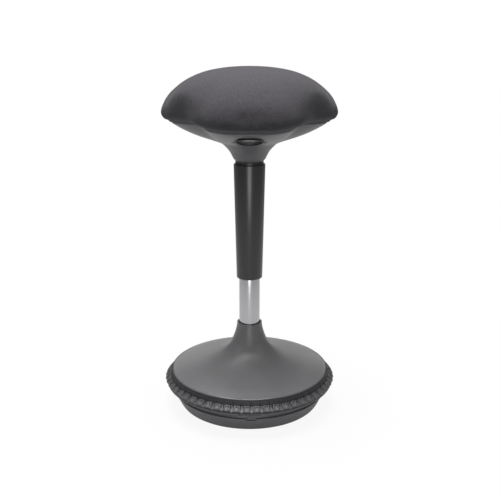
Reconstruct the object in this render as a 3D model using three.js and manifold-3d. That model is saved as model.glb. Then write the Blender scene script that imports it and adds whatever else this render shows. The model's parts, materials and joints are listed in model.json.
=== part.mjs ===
import * as THREE from 'three';
import { mergeVertices } from 'three/addons/utils/BufferGeometryUtils.js';
import Module from 'manifold-3d';

const wasm = await Module();
wasm.setup();

// A height-adjustable wobble stool on a domed, weighted base.
// Lengths are in millimetres. Z is up, the floor is at zero and the front of the stool faces -Y.

// Fits
const touchGap = 0.3; // between two pieces that rest on each other
const holeGap = 0.3; // between a screw, pin or rod and its hole
const cutOverrun = 2; // how far a cutting shape runs past what it cuts

// Facets
const baseSides = 36;
const seatSides = 42;
const tubeSides = 24;
const smallSides = 12;
const screwSides = 8;

// Rubber pad under the base: a flat middle, then a shallow dome that the stool rocks on
const padFlatRadius = 60;
const padInset = 7; // from the foot of the lower casing in to the pad
const padRimRise = 7;
const padThickness = 4.5;
const domeRings = 3;

// Lower casing of the base
const bowlFloorThickness = 4;
const bowlWall = 3.5;
const bowlFootInset = 18.8; // from the lip in to the foot
const bowlFootHeight = 7.6;
const bowlFootRound = 2.4;
const bowlLipInset = 16.2; // from the flange in to the lip
const bowlLipHeight = 41.5;
const bowlLipDepth = 1.4;
const bowlLipThickness = 2.4;
const undercutInset = 6;
const flangeInset = 4; // from the tread ring in to the flange
const flangeTop = 62;
const flangeThickness = 5.4;
// Side of the lower casing: shares of the way out, and of the way up, from the foot to the lip
const bowlSideShares = [[0.24, 0.112], [0.5, 0.343], [0.75, 0.64]];
const notchHalfWidth = 12.5;
const notchHeight = 6;

// Upper casing of the base, with the cone round the column
const shellWall = 3.5;
const shoulderInset = 2.6; // from the skirt in to the shoulder
const shoulderHeight = 90;
const coneTopRadius = 28.3;
const coneTopHeight = 199;
const coneRimRound = 1.2;
// Outline of the cone and disc, from the top of the cone to the shoulder:
// shares of the way out to the shoulder, and of the way up to the top
const coneShares = [
  [0.000, 0.960], [0.011, 0.873], [0.028, 0.784], [0.052, 0.690], [0.089, 0.570], [0.142, 0.462],
  [0.212, 0.378], [0.300, 0.310], [0.430, 0.238], [0.620, 0.160], [0.820, 0.086], [0.960, 0.030],
];

// Tread ring round the base: blocks on a sloping face, above a plain band
const gripRadius = 194;
const gripFootInset = 3.5;
const gripTopInset = 11.2;
const gripBand = 14; // from its outer edge in to the skirt that it sits on
const gripHeight = 15;
const gripEdgeRise = 6.7;
const treadCount = 56;
const treadDepth = 2.4;
const treadBlockShare = 0.72;
const treadTurnShare = 0.21;

// Screws and posts that hold the two casings together
const casingScrewCount = 6;
const casingScrewInset = 8; // from the pad's edge in to the screws
const casingPostRadius = 7.5;
const casingSplitHeight = 42;
const casingScrewRadius = 2.2;
const casingScrewHeadRadius = 4.4;
const casingScrewHead = 3.2;
const casingScrewLength = 26;
const casingPostFloor = 6;

// Cast iron ballast
const ballastGap = 7.5; // from the ballast out to the posts
const ballastBore = 54;
const ballastThickness = 10;

// Steel socket that carries the column
const socketFlangeRadius = 50;
const socketFlangeThickness = 5;
const socketWall = 4;
const socketHeight = 62;
const socketLedge = 6;
const hubBoltCount = 4;
const hubBoltCircle = 39;
const hubBoltRadius = 3;
const hubBoltHeadRadius = 5.5;
const hubBoltHead = 4.5;

// Steel column tube and what it holds
const columnRadius = 23.2;
const columnWall = 2.4;
const columnTop = 410;
const columnPlateHeight = 26;
const columnPlateThickness = 3;
const sealHeight = 9;
const sealRecess = 4;
const bushLength = 95;
const bushFlange = 2;
const raceRadius = 11;
const raceThickness = 2;
const bearingThickness = 3.4;

// Piston rod, which hangs the seat on the thrust bearing
const rodRadius = 5;
const rodStep = 0.9;
const rodFoot = 17;
const rodTop = 308;
const pistonThickness = 10;
const pistonDrop = 2;
const clipRadius = 8.5;
const clipThickness = 2.6;
const clipMouth = 5;
const bumperRadius = 10.5;
const bumperLength = 12;

// Gas cylinder
const cylinderRadius = 14;
const cylinderWall = 2;
const cylinderFoot = 213;
const cylinderTaper = 1.4;
const cylinderTaperLength = 28;
const cylinderCap = 8;
const cylinderLip = 1.5;
const glandThickness = 9;
const glandRecess = 1.2;
const valveRadius = 2;
const valveTipRadius = 1.2;
const valveProud = 7;
const valveHeadRadius = 4;
const valveHead = 3;

// Plastic sleeve over the column
const tubeShown = 107;
const sleeveLength = 257.5;
const sleeveFootRadius = 28.8;
const sleeveTopRadius = 34.6;
const sleeveWall = 3;
const sleeveWebThickness = 3;
const sleeveRound = 1.6;

// Seat pan: a round neck that opens into a three-lobed dish
const spigotRadius = 28.4;
const spigotDepth = 13;
const neckGap = 6.3;
const collarSink = 3; // how far the dark collar round the spigot reaches into the sleeve
const neckRimRadius = 30.7;
const neckHeight = 41.7;
const creaseRadius = 64.5;
const dishRadius = 152;
const dishRise = 37.5;
const rimBand = 3;
const panWall = 3.5;
// Outline of the neck: shares of the way out to the crease, and of the way up to it
const neckShares = [[0.133, 0.134], [0.257, 0.338], [0.405, 0.542], [0.63, 0.746], [0.85, 0.915]];
const dishPower = 2.9;
const dishShares = [0.26, 0.5, 0.7, 0.86];
// Lobes: how fast they grow and blunt beyond the round middle, and how far the waists rise at the rim
const lobeCount = 3;
const roundRadius = 67;
const lobeGrowthShare = 0.341;
const lobeBluntShare = 0.091;
const waistRise = 3;
// On the cushion the waists fade between these shares of its height, and that share of them goes
const fadeStartShare = 0.04;
const fadeEndShare = 0.48;
const fadeShare = 0.95;

// Finger recess and release paddle
const recessHalfWidth = 29.5;
const recessAbove = 6.5; // the oval is flatter above its widest line than below it
const recessBelow = 11;
const recessCentreRise = 11;
const recessSlopeShare = 0.12;
const recessReach = 150;
const recessWall = 2.5;
const paddleThickness = 4;
const paddleHalfWidth = 28;
const paddleRise = 1;
const paddleGap = 1;
const paddleTravel = 4;
const leverWidth = 12;
const leverThickness = 5.4;
const leverOverhang = 3;
const pivotReach = 38;
const pivotRadius = 2;

// Mechanism plate, its socket and bracket
const plateHalfWidth = 48;
const plateThickness = 3;
const plateBoltPlace = 38;
const plateBoltRadius = 2.8;
const plateBoltHeadRadius = 5;
const plateBoltHead = 4;
const cylinderTopDrop = 5.5;
const hubWall = 3.8;
const hubFoot = 26;
const hubFlangeRadius = 29;
const hubFlangeThickness = 4;
const hubWindowHalfWidth = 7.5;
const hubWindowHeight = 26;
const bracketWall = 2.5;
const bracketDepth = 15;
const bracketSideGap = 0.6;
const bracketDrop = 5;

// Seat board and its fasteners
const boardEdge = 1.5;
const boardThickness = 10;
const nutBarrelRadius = 4.4;
const nutFlangeRadius = 8;
const nutFlange = 1.2;
const nutLength = 8.5;
const panScrewInset = 37; // from the dish's rim in to the screws
const panScrewSpread = 14;
const panPostRadius = 6.5;
const panScrewRadius = 2;
const panScrewHeadRadius = 4;
const panScrewHead = 3;
const panScrewBite = 5;
const panPostFloor = 4;
const panPostGap = 1;

// Foam and cover
const cushionOverhang = 21.2; // from the dish's rim out to the cushion's widest line
const cushionHeight = 116.4;
const coverThickness = 3;
const hemOverhang = 3.5;
const hemRise = 1.5;
const foamTuck = 1;
const foamEase = 0.6; // between the foam and its cover, which the waists narrow
const foamGap = 0.9; // the board's waved top is made of flat faces, so the foam keeps clear of their edges
// Outline of the cushion: shares of its radius and of its height above the rim
const crownShares = [
  [0.925, 0.030], [0.970, 0.074], [1.000, 0.180], [0.981, 0.320],
  [0.907, 0.530], [0.781, 0.727], [0.586, 0.897], [0.290, 0.988],
];

// Radii of the base, which follow from the tread ring
const skirtRadius = gripRadius - gripBand;
const shoulderRadius = skirtRadius - shoulderInset;
const gripFootRadius = gripRadius - gripFootInset;
const gripTopRadius = gripRadius - gripTopInset;
const flangeRadius = gripRadius - flangeInset;
const bowlUndercutRadius = flangeRadius - undercutInset;
const bowlLipRadius = flangeRadius - bowlLipInset;
const bowlFootRadius = bowlLipRadius - bowlFootInset;
const padRadius = bowlFootRadius - padInset;
const casingScrewCircle = padRadius - casingScrewInset;
const ballastRadius = casingScrewCircle - casingPostRadius - ballastGap;

// Radii of the seat, which follow from the dish
const panScrewCircle = dishRadius - panScrewInset;
const cushionRadius = dishRadius + cushionOverhang;
const hemRadius = dishRadius + hemOverhang;

// Heights that follow from the sizes above
const sleeveFoot = coneTopHeight + tubeShown;
const sleeveTop = sleeveFoot + sleeveLength;
const spigotFoot = sleeveTop - spigotDepth;
const neckFoot = sleeveTop + neckGap;
const creaseHeight = neckFoot + neckHeight;
const rimHeight = creaseHeight + dishRise;
const boardFoot = rimHeight + rimBand + touchGap;
const boardTop = boardFoot + boardThickness;
const plateTop = boardFoot - touchGap;
const plateFoot = plateTop - plateThickness;
const cylinderTop = creaseHeight - cylinderTopDrop;
const valveTop = cylinderTop + valveProud;
const leverFoot = valveTop + touchGap;
const pivotHeight = leverFoot + leverThickness / 2;
const cushionFoot = rimHeight + rimBand;

const bowlFloorRise = padThickness + touchGap;
const columnFoot = bowlFloorRise + bowlFloorThickness + touchGap + socketFlangeThickness + touchGap;
const columnBore = columnRadius - columnWall;
const raceFoot = columnPlateHeight + columnPlateThickness + touchGap;
const upperRaceFoot = raceFoot + raceThickness + touchGap + bearingThickness + touchGap;
const rodShoulder = upperRaceFoot + raceThickness + touchGap;
const rodBore = rodRadius + holeGap;
const rodTailRadius = rodRadius - rodStep;
const cylinderBore = cylinderRadius - cylinderWall;

// Finishes
const finish = (color, roughness, metalness) => ({ color, roughness, metalness });
const shellPlastic = finish(0x6b6a6d, 0.5, 0);
const bowlPlastic = finish(0x4f4e51, 0.5, 0);
const panPlastic = finish(0x5c5b5e, 0.45, 0);
const sleevePlastic = finish(0x333236, 0.35, 0);
const blackPlastic = finish(0x1d1d1f, 0.5, 0);
const treadRubber = finish(0x4a494c, 0.6, 0);
const padRubber = finish(0x232325, 0.85, 0);
const satinSteel = finish(0xb9b8ba, 0.3, 1);
const chromeSteel = finish(0xd8d8da, 0.12, 1);
const zincSteel = finish(0x9a9b9f, 0.4, 1);
const castIron = finish(0x3a3b3d, 0.7, 1);
const plyWood = finish(0xb08d5e, 0.7, 0);
const foamStuff = finish(0xd9cfa8, 0.95, 0);
const seatFabric = finish(0x5b595c, 0.95, 0);

// Merges the shared vertices of a geometry, drops slivers and turns its faces outwards
function closed(geometry) {
  geometry.deleteAttribute('normal');
  geometry.deleteAttribute('uv');
  const merged = mergeVertices(geometry);
  const { index, attributes } = merged;
  const corner = [new THREE.Vector3(), new THREE.Vector3(), new THREE.Vector3()];
  const faces = [];
  let volume = 0;
  for (let i = 0; i < index.count; i += 3) {
    const face = [index.getX(i), index.getX(i + 1), index.getX(i + 2)];
    if (new Set(face).size < 3) continue;
    face.forEach((vertex, k) => corner[k].fromBufferAttribute(attributes.position, vertex));
    volume += corner[0].dot(corner[1].cross(corner[2]));
    faces.push(face);
  }
  if (volume < 0) faces.forEach((face) => face.reverse());
  merged.setIndex(faces.flat());
  return merged;
}

// Turns a profile of [radius, height] points about the Z axis
function turned(profile, sides) {
  const points = profile.map(([radius, height]) => new THREE.Vector2(radius, height));
  if (points[0].x > 0) points.push(points[0].clone());
  const geometry = new THREE.LatheGeometry(points, sides);
  geometry.rotateX(Math.PI / 2);
  return closed(geometry);
}

// A ring with a square section
function ring(inner, outer, foot, top, sides) {
  return turned([[inner, foot], [outer, foot], [outer, top], [inner, top]], sides);
}

// A plain bar, used for pins and for cutting round holes
function bar(radius, foot, top, sides) {
  return turned([[0, foot], [radius, foot], [radius, top], [0, top]], sides);
}

// A screw with its head below its shank: the head's upper face is at zero
function screwShape(shankRadius, headRadius, headHeight, length) {
  return turned([
    [0, -headHeight], [headRadius, -headHeight], [headRadius, 0],
    [shankRadius, 0], [shankRadius, length], [0, length],
  ], screwSides);
}

function block(low, high) {
  const geometry = new THREE.BoxGeometry(...high.map((value, axis) => value - low[axis]));
  geometry.translate(...high.map((value, axis) => (value + low[axis]) / 2));
  return closed(geometry);
}

// Joining and cutting
function toSolid(geometry) {
  return new wasm.Manifold(new wasm.Mesh({
    numProp: 3,
    vertProperties: new Float32Array(geometry.attributes.position.array),
    triVerts: new Uint32Array(geometry.index.array),
  }));
}

function toGeometry(solid) {
  const mesh = solid.getMesh();
  const geometry = new THREE.BufferGeometry();
  geometry.setAttribute('position', new THREE.BufferAttribute(mesh.vertProperties.slice(), 3));
  geometry.setIndex(new THREE.BufferAttribute(mesh.triVerts.slice(), 1));
  return geometry;
}

function shaped(geometry, added, removed) {
  let solid = toSolid(geometry);
  for (const extra of added) solid = solid.add(toSolid(extra));
  for (const hole of removed) solid = solid.subtract(toSolid(hole));
  return toGeometry(solid);
}

// Moves an open profile sideways by a wall's thickness, along the normals at its points
function offset(profile, distance) {
  return profile.map(([radius, height], i) => {
    const before = profile[Math.max(i - 1, 0)];
    const after = profile[Math.min(i + 1, profile.length - 1)];
    const run = after[0] - before[0];
    const rise = after[1] - before[1];
    const length = Math.hypot(run, rise);
    return [radius - (distance * rise) / length, height + (distance * run) / length];
  });
}

// Every second point of a profile, which is enough for a wall's hidden side
function alternate(profile) {
  return profile.filter((_, i) => i % 2 === 1);
}

// The height of a profile at a radius between its points
function heightAlong(profile, radius) {
  const outer = profile.findIndex((point) => point[0] >= radius);
  const [[nearRadius, nearHeight], [farRadius, farHeight]] = [profile[outer - 1], profile[outer]];
  const share = (radius - nearRadius) / (farRadius - nearRadius);
  return nearHeight + (farHeight - nearHeight) * share;
}

// Places round a circle
function around(count, radius, startTurn = 0) {
  return Array.from({ length: count }, (_, i) => {
    const turn = startTurn + (i * 2 * Math.PI) / count;
    return [radius * Math.cos(turn), radius * Math.sin(turn)];
  });
}

// How the seat's round forms become three blunt lobes, one of them at the front
function lobeWave(turn) {
  return Math.cos(lobeCount * (turn + Math.PI / 2));
}

function lobeReach(radius, turn, fade = 0) {
  const beyond = Math.max(radius - roundRadius, 0);
  const blunt = (lobeBluntShare * beyond * beyond) / (dishRadius - roundRadius);
  const wave = lobeWave(turn);
  const reach = lobeGrowthShare * beyond * wave - blunt * (2 * wave * wave - 1);
  return radius + (wave < 0 ? blunt + (reach - blunt) * (1 - fade) : reach);
}

// How much of the waists has gone at a height on the cushion
function waistFade(height) {
  const upShare = (height - cushionFoot) / cushionHeight;
  return fadeShare * THREE.MathUtils.smoothstep(upShare, fadeStartShare, fadeEndShare);
}

function lobeLift(radius, turn) {
  const beyondShare = Math.max(radius - roundRadius, 0) / (dishRadius - roundRadius);
  return -waistRise * lobeWave(turn) * beyondShare;
}

function lobed(geometry, fadeAt = () => 0) {
  const places = geometry.attributes.position;
  for (let i = 0; i < places.count; i += 1) {
    const radius = Math.hypot(places.getX(i), places.getY(i));
    const turn = Math.atan2(places.getY(i), places.getX(i));
    const fade = fadeAt(places.getZ(i));
    const stretch = radius > roundRadius ? lobeReach(radius, turn, fade) / radius : 1;
    places.setX(i, places.getX(i) * stretch);
    places.setY(i, places.getY(i) * stretch);
    places.setZ(i, places.getZ(i) + lobeLift(radius, turn));
  }
  return geometry;
}

// Assembly
const stool = new THREE.Group();
const groups = {};
for (const name of ['base', 'rod', 'seat']) {
  groups[name] = new THREE.Group();
  stool.add(groups[name]);
}

function addPiece(group, name, geometry, look, place = [0, 0, 0]) {
  geometry.computeVertexNormals();
  const mesh = new THREE.Mesh(geometry, new THREE.MeshStandardMaterial(look));
  mesh.name = name;
  mesh.position.set(...place);
  groups[group].add(mesh);
  return mesh;
}

// Base
function domeRise(radius) {
  const share = Math.max(radius - padFlatRadius, 0) / (padRadius - padFlatRadius);
  return padRimRise * share * share;
}

function domeLine(rise, outerRadius) {
  const radii = [padFlatRadius];
  for (let i = 1; i <= domeRings; i += 1) {
    radii.push(padFlatRadius + ((outerRadius - padFlatRadius) * i) / domeRings);
  }
  return [[0, rise], ...radii.map((radius) => [radius, domeRise(radius) + rise])];
}

function buildPad() {
  const sole = domeLine(0, padRadius);
  const top = domeLine(padThickness, padRadius).reverse();
  addPiece('base', 'base_pad', turned([...sole, ...top], baseSides), padRubber);
}

const casingScrewPlaces = around(casingScrewCount, casingScrewCircle, Math.PI / casingScrewCount);
const hubBoltPlaces = around(hubBoltCount, hubBoltCircle, Math.PI / hubBoltCount);

function buildBowl() {
  const padPocket = padRadius + touchGap;
  const lipFoot = bowlLipHeight - bowlLipThickness / 2;
  const lipTop = bowlLipHeight + bowlLipThickness / 2;
  const lipBack = bowlLipRadius - bowlLipDepth;
  const flangeFoot = flangeTop - flangeThickness;
  const outside = [
    ...domeLine(bowlFloorRise, padPocket),
    [padPocket, bowlFootHeight],
    [bowlFootRadius - bowlFootRound, bowlFootHeight],
    ...bowlSideShares.map(([outShare, upShare]) => [
      bowlFootRadius + (lipBack - bowlFootRadius) * outShare,
      bowlFootHeight + (lipFoot - bowlLipDepth - bowlFootHeight) * upShare,
    ]),
    [lipBack, lipFoot - bowlLipDepth],
    [bowlLipRadius, lipFoot],
    [bowlLipRadius, lipTop],
    [lipBack, lipTop + bowlLipDepth],
    [bowlUndercutRadius, flangeFoot],
    [flangeRadius, flangeFoot],
    [flangeRadius, flangeTop],
  ];
  const skirtBore = skirtRadius - shellWall;
  const inside = [
    [skirtBore - bowlWall, flangeTop],
    [skirtBore - bowlWall, flangeFoot - bowlWall],
    [lipBack - bowlWall, lipTop],
    [lipBack - bowlWall, lipFoot],
    [padRadius, domeRise(padRadius) + bowlFloorRise + bowlFloorThickness],
    ...domeLine(bowlFloorRise + bowlFloorThickness, padRadius).reverse().slice(1),
  ];
  const postFoot = domeRise(casingScrewCircle) + bowlFloorRise + bowlFloorThickness / 2;
  const headRoom = casingScrewHeadRadius + holeGap;
  const posts = casingScrewPlaces.map(([x, y]) => (
    bar(casingPostRadius, postFoot, casingSplitHeight, screwSides).translate(x, y, 0)
  ));
  const holes = casingScrewPlaces.flatMap(([x, y]) => [
    bar(headRoom, 0, casingSplitHeight - casingPostFloor, screwSides).translate(x, y, 0),
    bar(casingScrewRadius + holeGap, 0, casingSplitHeight + cutOverrun, screwSides).translate(x, y, 0),
  ]);
  const boltHoles = hubBoltPlaces.map(([x, y]) => (
    bar(hubBoltRadius + holeGap, 0, columnFoot + cutOverrun, screwSides).translate(x, y, 0)
  ));
  const notch = block(
    [-notchHalfWidth, -bowlLipRadius - cutOverrun, bowlLipHeight - notchHeight],
    [notchHalfWidth, -lipBack + bowlLipDepth, lipTop + bowlLipDepth],
  );
  const shell = turned([...outside, ...inside], baseSides);
  addPiece('base', 'base_bowl', shaped(shell, posts, [...holes, ...boltHoles, notch]), bowlPlastic);
}

function coneOutline() {
  return coneShares.map(([outShare, upShare]) => [
    coneTopRadius + (shoulderRadius - coneTopRadius) * outShare,
    shoulderHeight + (coneTopHeight - shoulderHeight) * upShare,
  ]);
}

function buildShell() {
  const skirtFoot = flangeTop + touchGap;
  const gripTop = flangeTop + touchGap + gripHeight;
  const outside = [
    [skirtRadius, skirtFoot],
    [skirtRadius, gripTop],
    [shoulderRadius, shoulderHeight],
    ...coneOutline().reverse(),
  ];
  const inside = alternate(offset(outside.slice(1, -1), shellWall)).reverse();
  const rim = [
    [coneTopRadius, coneTopHeight - coneRimRound],
    [coneTopRadius - coneRimRound, coneTopHeight],
    [coneTopRadius - shellWall, coneTopHeight],
    [coneTopRadius - shellWall, outside.at(-1)[1]],
  ];
  const shell = turned([...outside, ...rim, ...inside, [skirtRadius - shellWall, skirtFoot]], baseSides);
  const postFoot = casingSplitHeight + touchGap;
  const cone = [...coneOutline(), [shoulderRadius, shoulderHeight]];
  const postTop = heightAlong(cone, casingScrewCircle + casingPostRadius) - touchGap;
  const screwTop = casingSplitHeight - casingPostFloor + touchGap + casingScrewLength;
  const posts = casingScrewPlaces.map(([x, y]) => (
    bar(casingPostRadius, postFoot, postTop, screwSides).translate(x, y, 0)
  ));
  const pilots = casingScrewPlaces.map(([x, y]) => (
    bar(casingScrewRadius + holeGap, postFoot - cutOverrun, screwTop, screwSides).translate(x, y, 0)
  ));
  addPiece('base', 'base_shell', shaped(shell, posts, pilots), shellPlastic);
}

function buildGrip() {
  const foot = flangeTop + touchGap;
  const inner = skirtRadius + touchGap;
  const edgeHeight = foot + gripEdgeRise;
  const topHeight = foot + gripHeight;
  const profile = [
    [inner, foot], [gripFootRadius, foot], [gripRadius, edgeHeight],
    [gripTopRadius, topHeight], [inner, topHeight],
  ];
  const slope = Math.hypot(gripRadius - gripTopRadius, topHeight - edgeHeight);
  const sinkIn = (treadDepth * (topHeight - edgeHeight)) / slope;
  const sinkDown = (treadDepth * (gripRadius - gripTopRadius)) / slope;
  const stepsPerTread = 4;
  const geometry = turned(profile, treadCount * stepsPerTread);
  const places = geometry.attributes.position;
  const pitch = (2 * Math.PI) / treadCount;
  const grooveShare = 1 - treadBlockShare;
  const edgeShares = [-0.36 * grooveShare, 0.36 * grooveShare, grooveShare / 2, 1 - grooveShare / 2];
  for (let i = 0; i < places.count; i += 1) {
    const radius = Math.hypot(places.getX(i), places.getY(i));
    const turn = Math.atan2(places.getY(i), places.getX(i)) + Math.PI / 2;
    const step = Math.round((turn / pitch) * stepsPerTread);
    const tread = Math.floor(step / stepsPerTread);
    const edge = step - tread * stepsPerTread;
    const newTurn = (tread + edgeShares[edge] + treadTurnShare) * pitch - Math.PI / 2;
    const sunk = edge < 2 && radius > gripTopRadius - touchGap && places.getZ(i) > foot + touchGap;
    const newRadius = radius - (sunk ? sinkIn : 0);
    places.setX(i, newRadius * Math.cos(newTurn));
    places.setY(i, newRadius * Math.sin(newTurn));
    places.setZ(i, places.getZ(i) - (sunk ? sinkDown : 0));
  }
  addPiece('base', 'grip_ring', geometry, treadRubber);
}

function buildCasingScrews() {
  const shape = screwShape(casingScrewRadius, casingScrewHeadRadius, casingScrewHead, casingScrewLength);
  const seat = casingSplitHeight - casingPostFloor - touchGap;
  casingScrewPlaces.forEach(([x, y], i) => {
    addPiece('base', `casing_screw_${i + 1}`, shape.clone(), zincSteel, [x, y, seat]);
  });
}

function buildBallast() {
  const floor = domeLine(bowlFloorRise + bowlFloorThickness, padRadius);
  const seat = heightAlong(floor, ballastRadius) + touchGap;
  const plate = ring(ballastBore, ballastRadius, 0, ballastThickness, baseSides);
  addPiece('base', 'ballast_plate', plate, castIron, [0, 0, seat]);
}

function buildSocket() {
  const foot = bowlFloorRise + bowlFloorThickness + touchGap;
  const bore = columnRadius + touchGap;
  const collar = bore + socketWall;
  const profile = [
    [bore - socketLedge, 0], [socketFlangeRadius, 0],
    [socketFlangeRadius, socketFlangeThickness], [collar, socketFlangeThickness],
    [collar, socketHeight], [bore, socketHeight],
    [bore, socketFlangeThickness], [bore - socketLedge, socketFlangeThickness],
  ];
  const holes = hubBoltPlaces.map(([x, y]) => (
    bar(hubBoltRadius + holeGap, -cutOverrun, socketFlangeThickness + cutOverrun, screwSides)
      .translate(x, y, 0)
  ));
  const socket = shaped(turned(profile, tubeSides), [], holes);
  addPiece('base', 'column_socket', socket, zincSteel, [0, 0, foot]);
  const length = columnFoot - bowlFloorRise - holeGap;
  const bolt = screwShape(hubBoltRadius, hubBoltHeadRadius, hubBoltHead, length).rotateX(Math.PI);
  hubBoltPlaces.forEach(([x, y], i) => {
    addPiece('base', `hub_bolt_${i + 1}`, bolt.clone(), zincSteel, [x, y, columnFoot]);
  });
}

function buildColumn() {
  const plateTopHeight = columnPlateHeight + columnPlateThickness;
  const tailBore = rodTailRadius + holeGap;
  const tube = turned([
    [columnBore, columnFoot], [columnRadius, columnFoot],
    [columnRadius, columnTop], [columnBore, columnTop],
    [columnBore, plateTopHeight], [tailBore, plateTopHeight],
    [tailBore, columnPlateHeight], [columnBore, columnPlateHeight],
  ], tubeSides);
  addPiece('base', 'column_tube', tube, satinSteel);

  const bushInner = cylinderRadius + holeGap;
  const bushOuter = columnBore - touchGap;
  const flangeFoot = columnTop + touchGap;
  const bush = turned([
    [bushInner, columnTop - bushLength], [bushOuter, columnTop - bushLength],
    [bushOuter, flangeFoot], [columnRadius, flangeFoot],
    [columnRadius, flangeFoot + bushFlange], [bushInner, flangeFoot + bushFlange],
  ], tubeSides);
  addPiece('base', 'guide_bush', bush, blackPlastic);

  const sealTop = coneTopHeight - sealRecess;
  const sealOuter = coneTopRadius - shellWall - touchGap;
  const seal = ring(columnRadius + touchGap, sealOuter, sealTop - sealHeight, sealTop, tubeSides);
  addPiece('base', 'column_seal', seal, padRubber);

  const race = ring(tailBore, raceRadius, 0, raceThickness, smallSides);
  const bearing = ring(tailBore, raceRadius, 0, bearingThickness, smallSides);
  addPiece('base', 'lower_race', race.clone(), chromeSteel, [0, 0, raceFoot]);
  addPiece('base', 'ball_cage', bearing, chromeSteel, [0, 0, raceFoot + raceThickness + touchGap]);
  addPiece('rod', 'upper_race', race, chromeSteel, [0, 0, upperRaceFoot]);
}

// Piston rod and what turns with it
function buildRod() {
  const rod = turned([
    [0, rodFoot], [rodTailRadius, rodFoot], [rodTailRadius, rodShoulder],
    [rodRadius, rodShoulder], [rodRadius, rodTop], [0, rodTop],
  ], smallSides);
  addPiece('rod', 'piston_rod', rod, chromeSteel);

  const pistonTop = rodTop - pistonDrop;
  const pistonOuter = cylinderBore - holeGap;
  const piston = ring(rodBore, pistonOuter, pistonTop - pistonThickness, pistonTop, smallSides);
  addPiece('rod', 'piston_head', piston, blackPlastic);

  const clipTop = columnPlateHeight - touchGap;
  const clip = ring(rodTailRadius + holeGap, clipRadius, clipTop - clipThickness, clipTop, smallSides);
  const mouth = block(
    [-clipMouth / 2, 0, clipTop - clipThickness - cutOverrun],
    [clipMouth / 2, clipRadius + cutOverrun, clipTop + cutOverrun],
  );
  addPiece('rod', 'retaining_clip', shaped(clip, [], [mouth]), zincSteel);

  const bumperFoot = rodShoulder + touchGap;
  const bumper = ring(rodBore, bumperRadius, bumperFoot, bumperFoot + bumperLength, smallSides);
  addPiece('rod', 'bump_stop', bumper, padRubber);
}

// Gas cylinder and valve
function buildCylinder() {
  const taperFoot = cylinderTop - cylinderTaperLength;
  const taperRadius = cylinderRadius - cylinderTaper;
  const capFoot = cylinderTop - cylinderCap;
  const valveBore = valveRadius + holeGap;
  const glandOuter = cylinderBore - touchGap;
  const lipBore = rodBore + glandRecess + touchGap;
  const glandFoot = cylinderFoot + cylinderLip + touchGap;
  const cylinder = turned([
    [lipBore, cylinderFoot], [cylinderRadius - cylinderLip, cylinderFoot],
    [cylinderRadius, cylinderFoot + cylinderLip], [cylinderRadius, taperFoot],
    [taperRadius, cylinderTop], [valveBore, cylinderTop],
    [valveBore, capFoot], [cylinderBore - cylinderTaper, capFoot],
    [cylinderBore, taperFoot], [cylinderBore, cylinderFoot + cylinderLip],
    [lipBore, cylinderFoot + cylinderLip],
  ], smallSides);
  addPiece('seat', 'gas_cylinder', cylinder, chromeSteel);

  const gland = ring(rodBore, glandOuter, glandFoot, glandFoot + glandThickness, smallSides);
  addPiece('seat', 'rod_gland', gland, blackPlastic);

  const headTop = capFoot - touchGap;
  const pin = turned([
    [0, headTop - valveHead], [valveHeadRadius, headTop - valveHead],
    [valveHeadRadius, headTop], [valveRadius, headTop],
    [valveRadius, valveTop - valveRadius], [valveTipRadius, valveTop], [0, valveTop],
  ], screwSides);
  addPiece('seat', 'valve_pin', pin, zincSteel);
}

function buildSleeve() {
  const slopeShare = (sleeveTopRadius - sleeveFootRadius) / sleeveLength;
  const boreAt = (height) => sleeveFootRadius - sleeveWall + slopeShare * (height - sleeveFoot);
  const webTop = spigotFoot - touchGap;
  const webFoot = webTop - sleeveWebThickness;
  const webBore = cylinderRadius + holeGap;
  const sleeve = turned([
    [sleeveFootRadius - sleeveWall, sleeveFoot + sleeveRound],
    [sleeveFootRadius - sleeveRound, sleeveFoot],
    [sleeveFootRadius, sleeveFoot + sleeveRound],
    [sleeveTopRadius, sleeveTop - sleeveRound],
    [sleeveTopRadius - sleeveRound, sleeveTop],
    [sleeveTopRadius - sleeveWall, sleeveTop],
    [boreAt(webTop), webTop], [webBore, webTop],
    [webBore, webFoot], [boreAt(webFoot), webFoot],
  ], tubeSides);
  addPiece('seat', 'column_sleeve', sleeve, sleevePlastic);
}

// Seat pan
function dishHeight(radius) {
  const floor = dishRise / (1 - (creaseRadius / dishRadius) ** dishPower);
  const share = (radius / dishRadius) ** dishPower - (creaseRadius / dishRadius) ** dishPower;
  return creaseHeight + floor * share;
}

const panScrewPlaces = Array.from({ length: lobeCount * 2 }, (_, i) => {
  const side = i % 2 ? 1 : -1;
  const lobeTurn = (Math.floor(i / 2) * 2 * Math.PI) / lobeCount - Math.PI / 2;
  const turn = lobeTurn + side * THREE.MathUtils.degToRad(panScrewSpread);
  const radius = lobeReach(panScrewCircle, turn);
  const lift = lobeLift(panScrewCircle, turn);
  return { x: radius * Math.cos(turn), y: radius * Math.sin(turn), lift };
});
const panScrewSeat = dishHeight(panScrewCircle) + panWall + panPostFloor;

// The finger recess is an oval tunnel that runs out under the front lobe
function recessTunnel(wall, back) {
  const halfWidth = recessHalfWidth + wall;
  const tunnel = new THREE.CylinderGeometry(halfWidth, halfWidth, recessReach, tubeSides);
  const places = tunnel.attributes.position;
  for (let i = 0; i < places.count; i += 1) {
    const half = places.getZ(i) > 0 ? recessAbove + wall : recessBelow + wall;
    places.setZ(i, (places.getZ(i) * half) / halfWidth);
  }
  tunnel.translate(0, -recessReach / 2, 0);
  tunnel.rotateX(-Math.atan(recessSlopeShare));
  const rise = recessCentreRise - recessSlopeShare * (creaseRadius - back);
  tunnel.translate(0, -back, creaseHeight + rise);
  return closed(tunnel);
}

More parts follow.
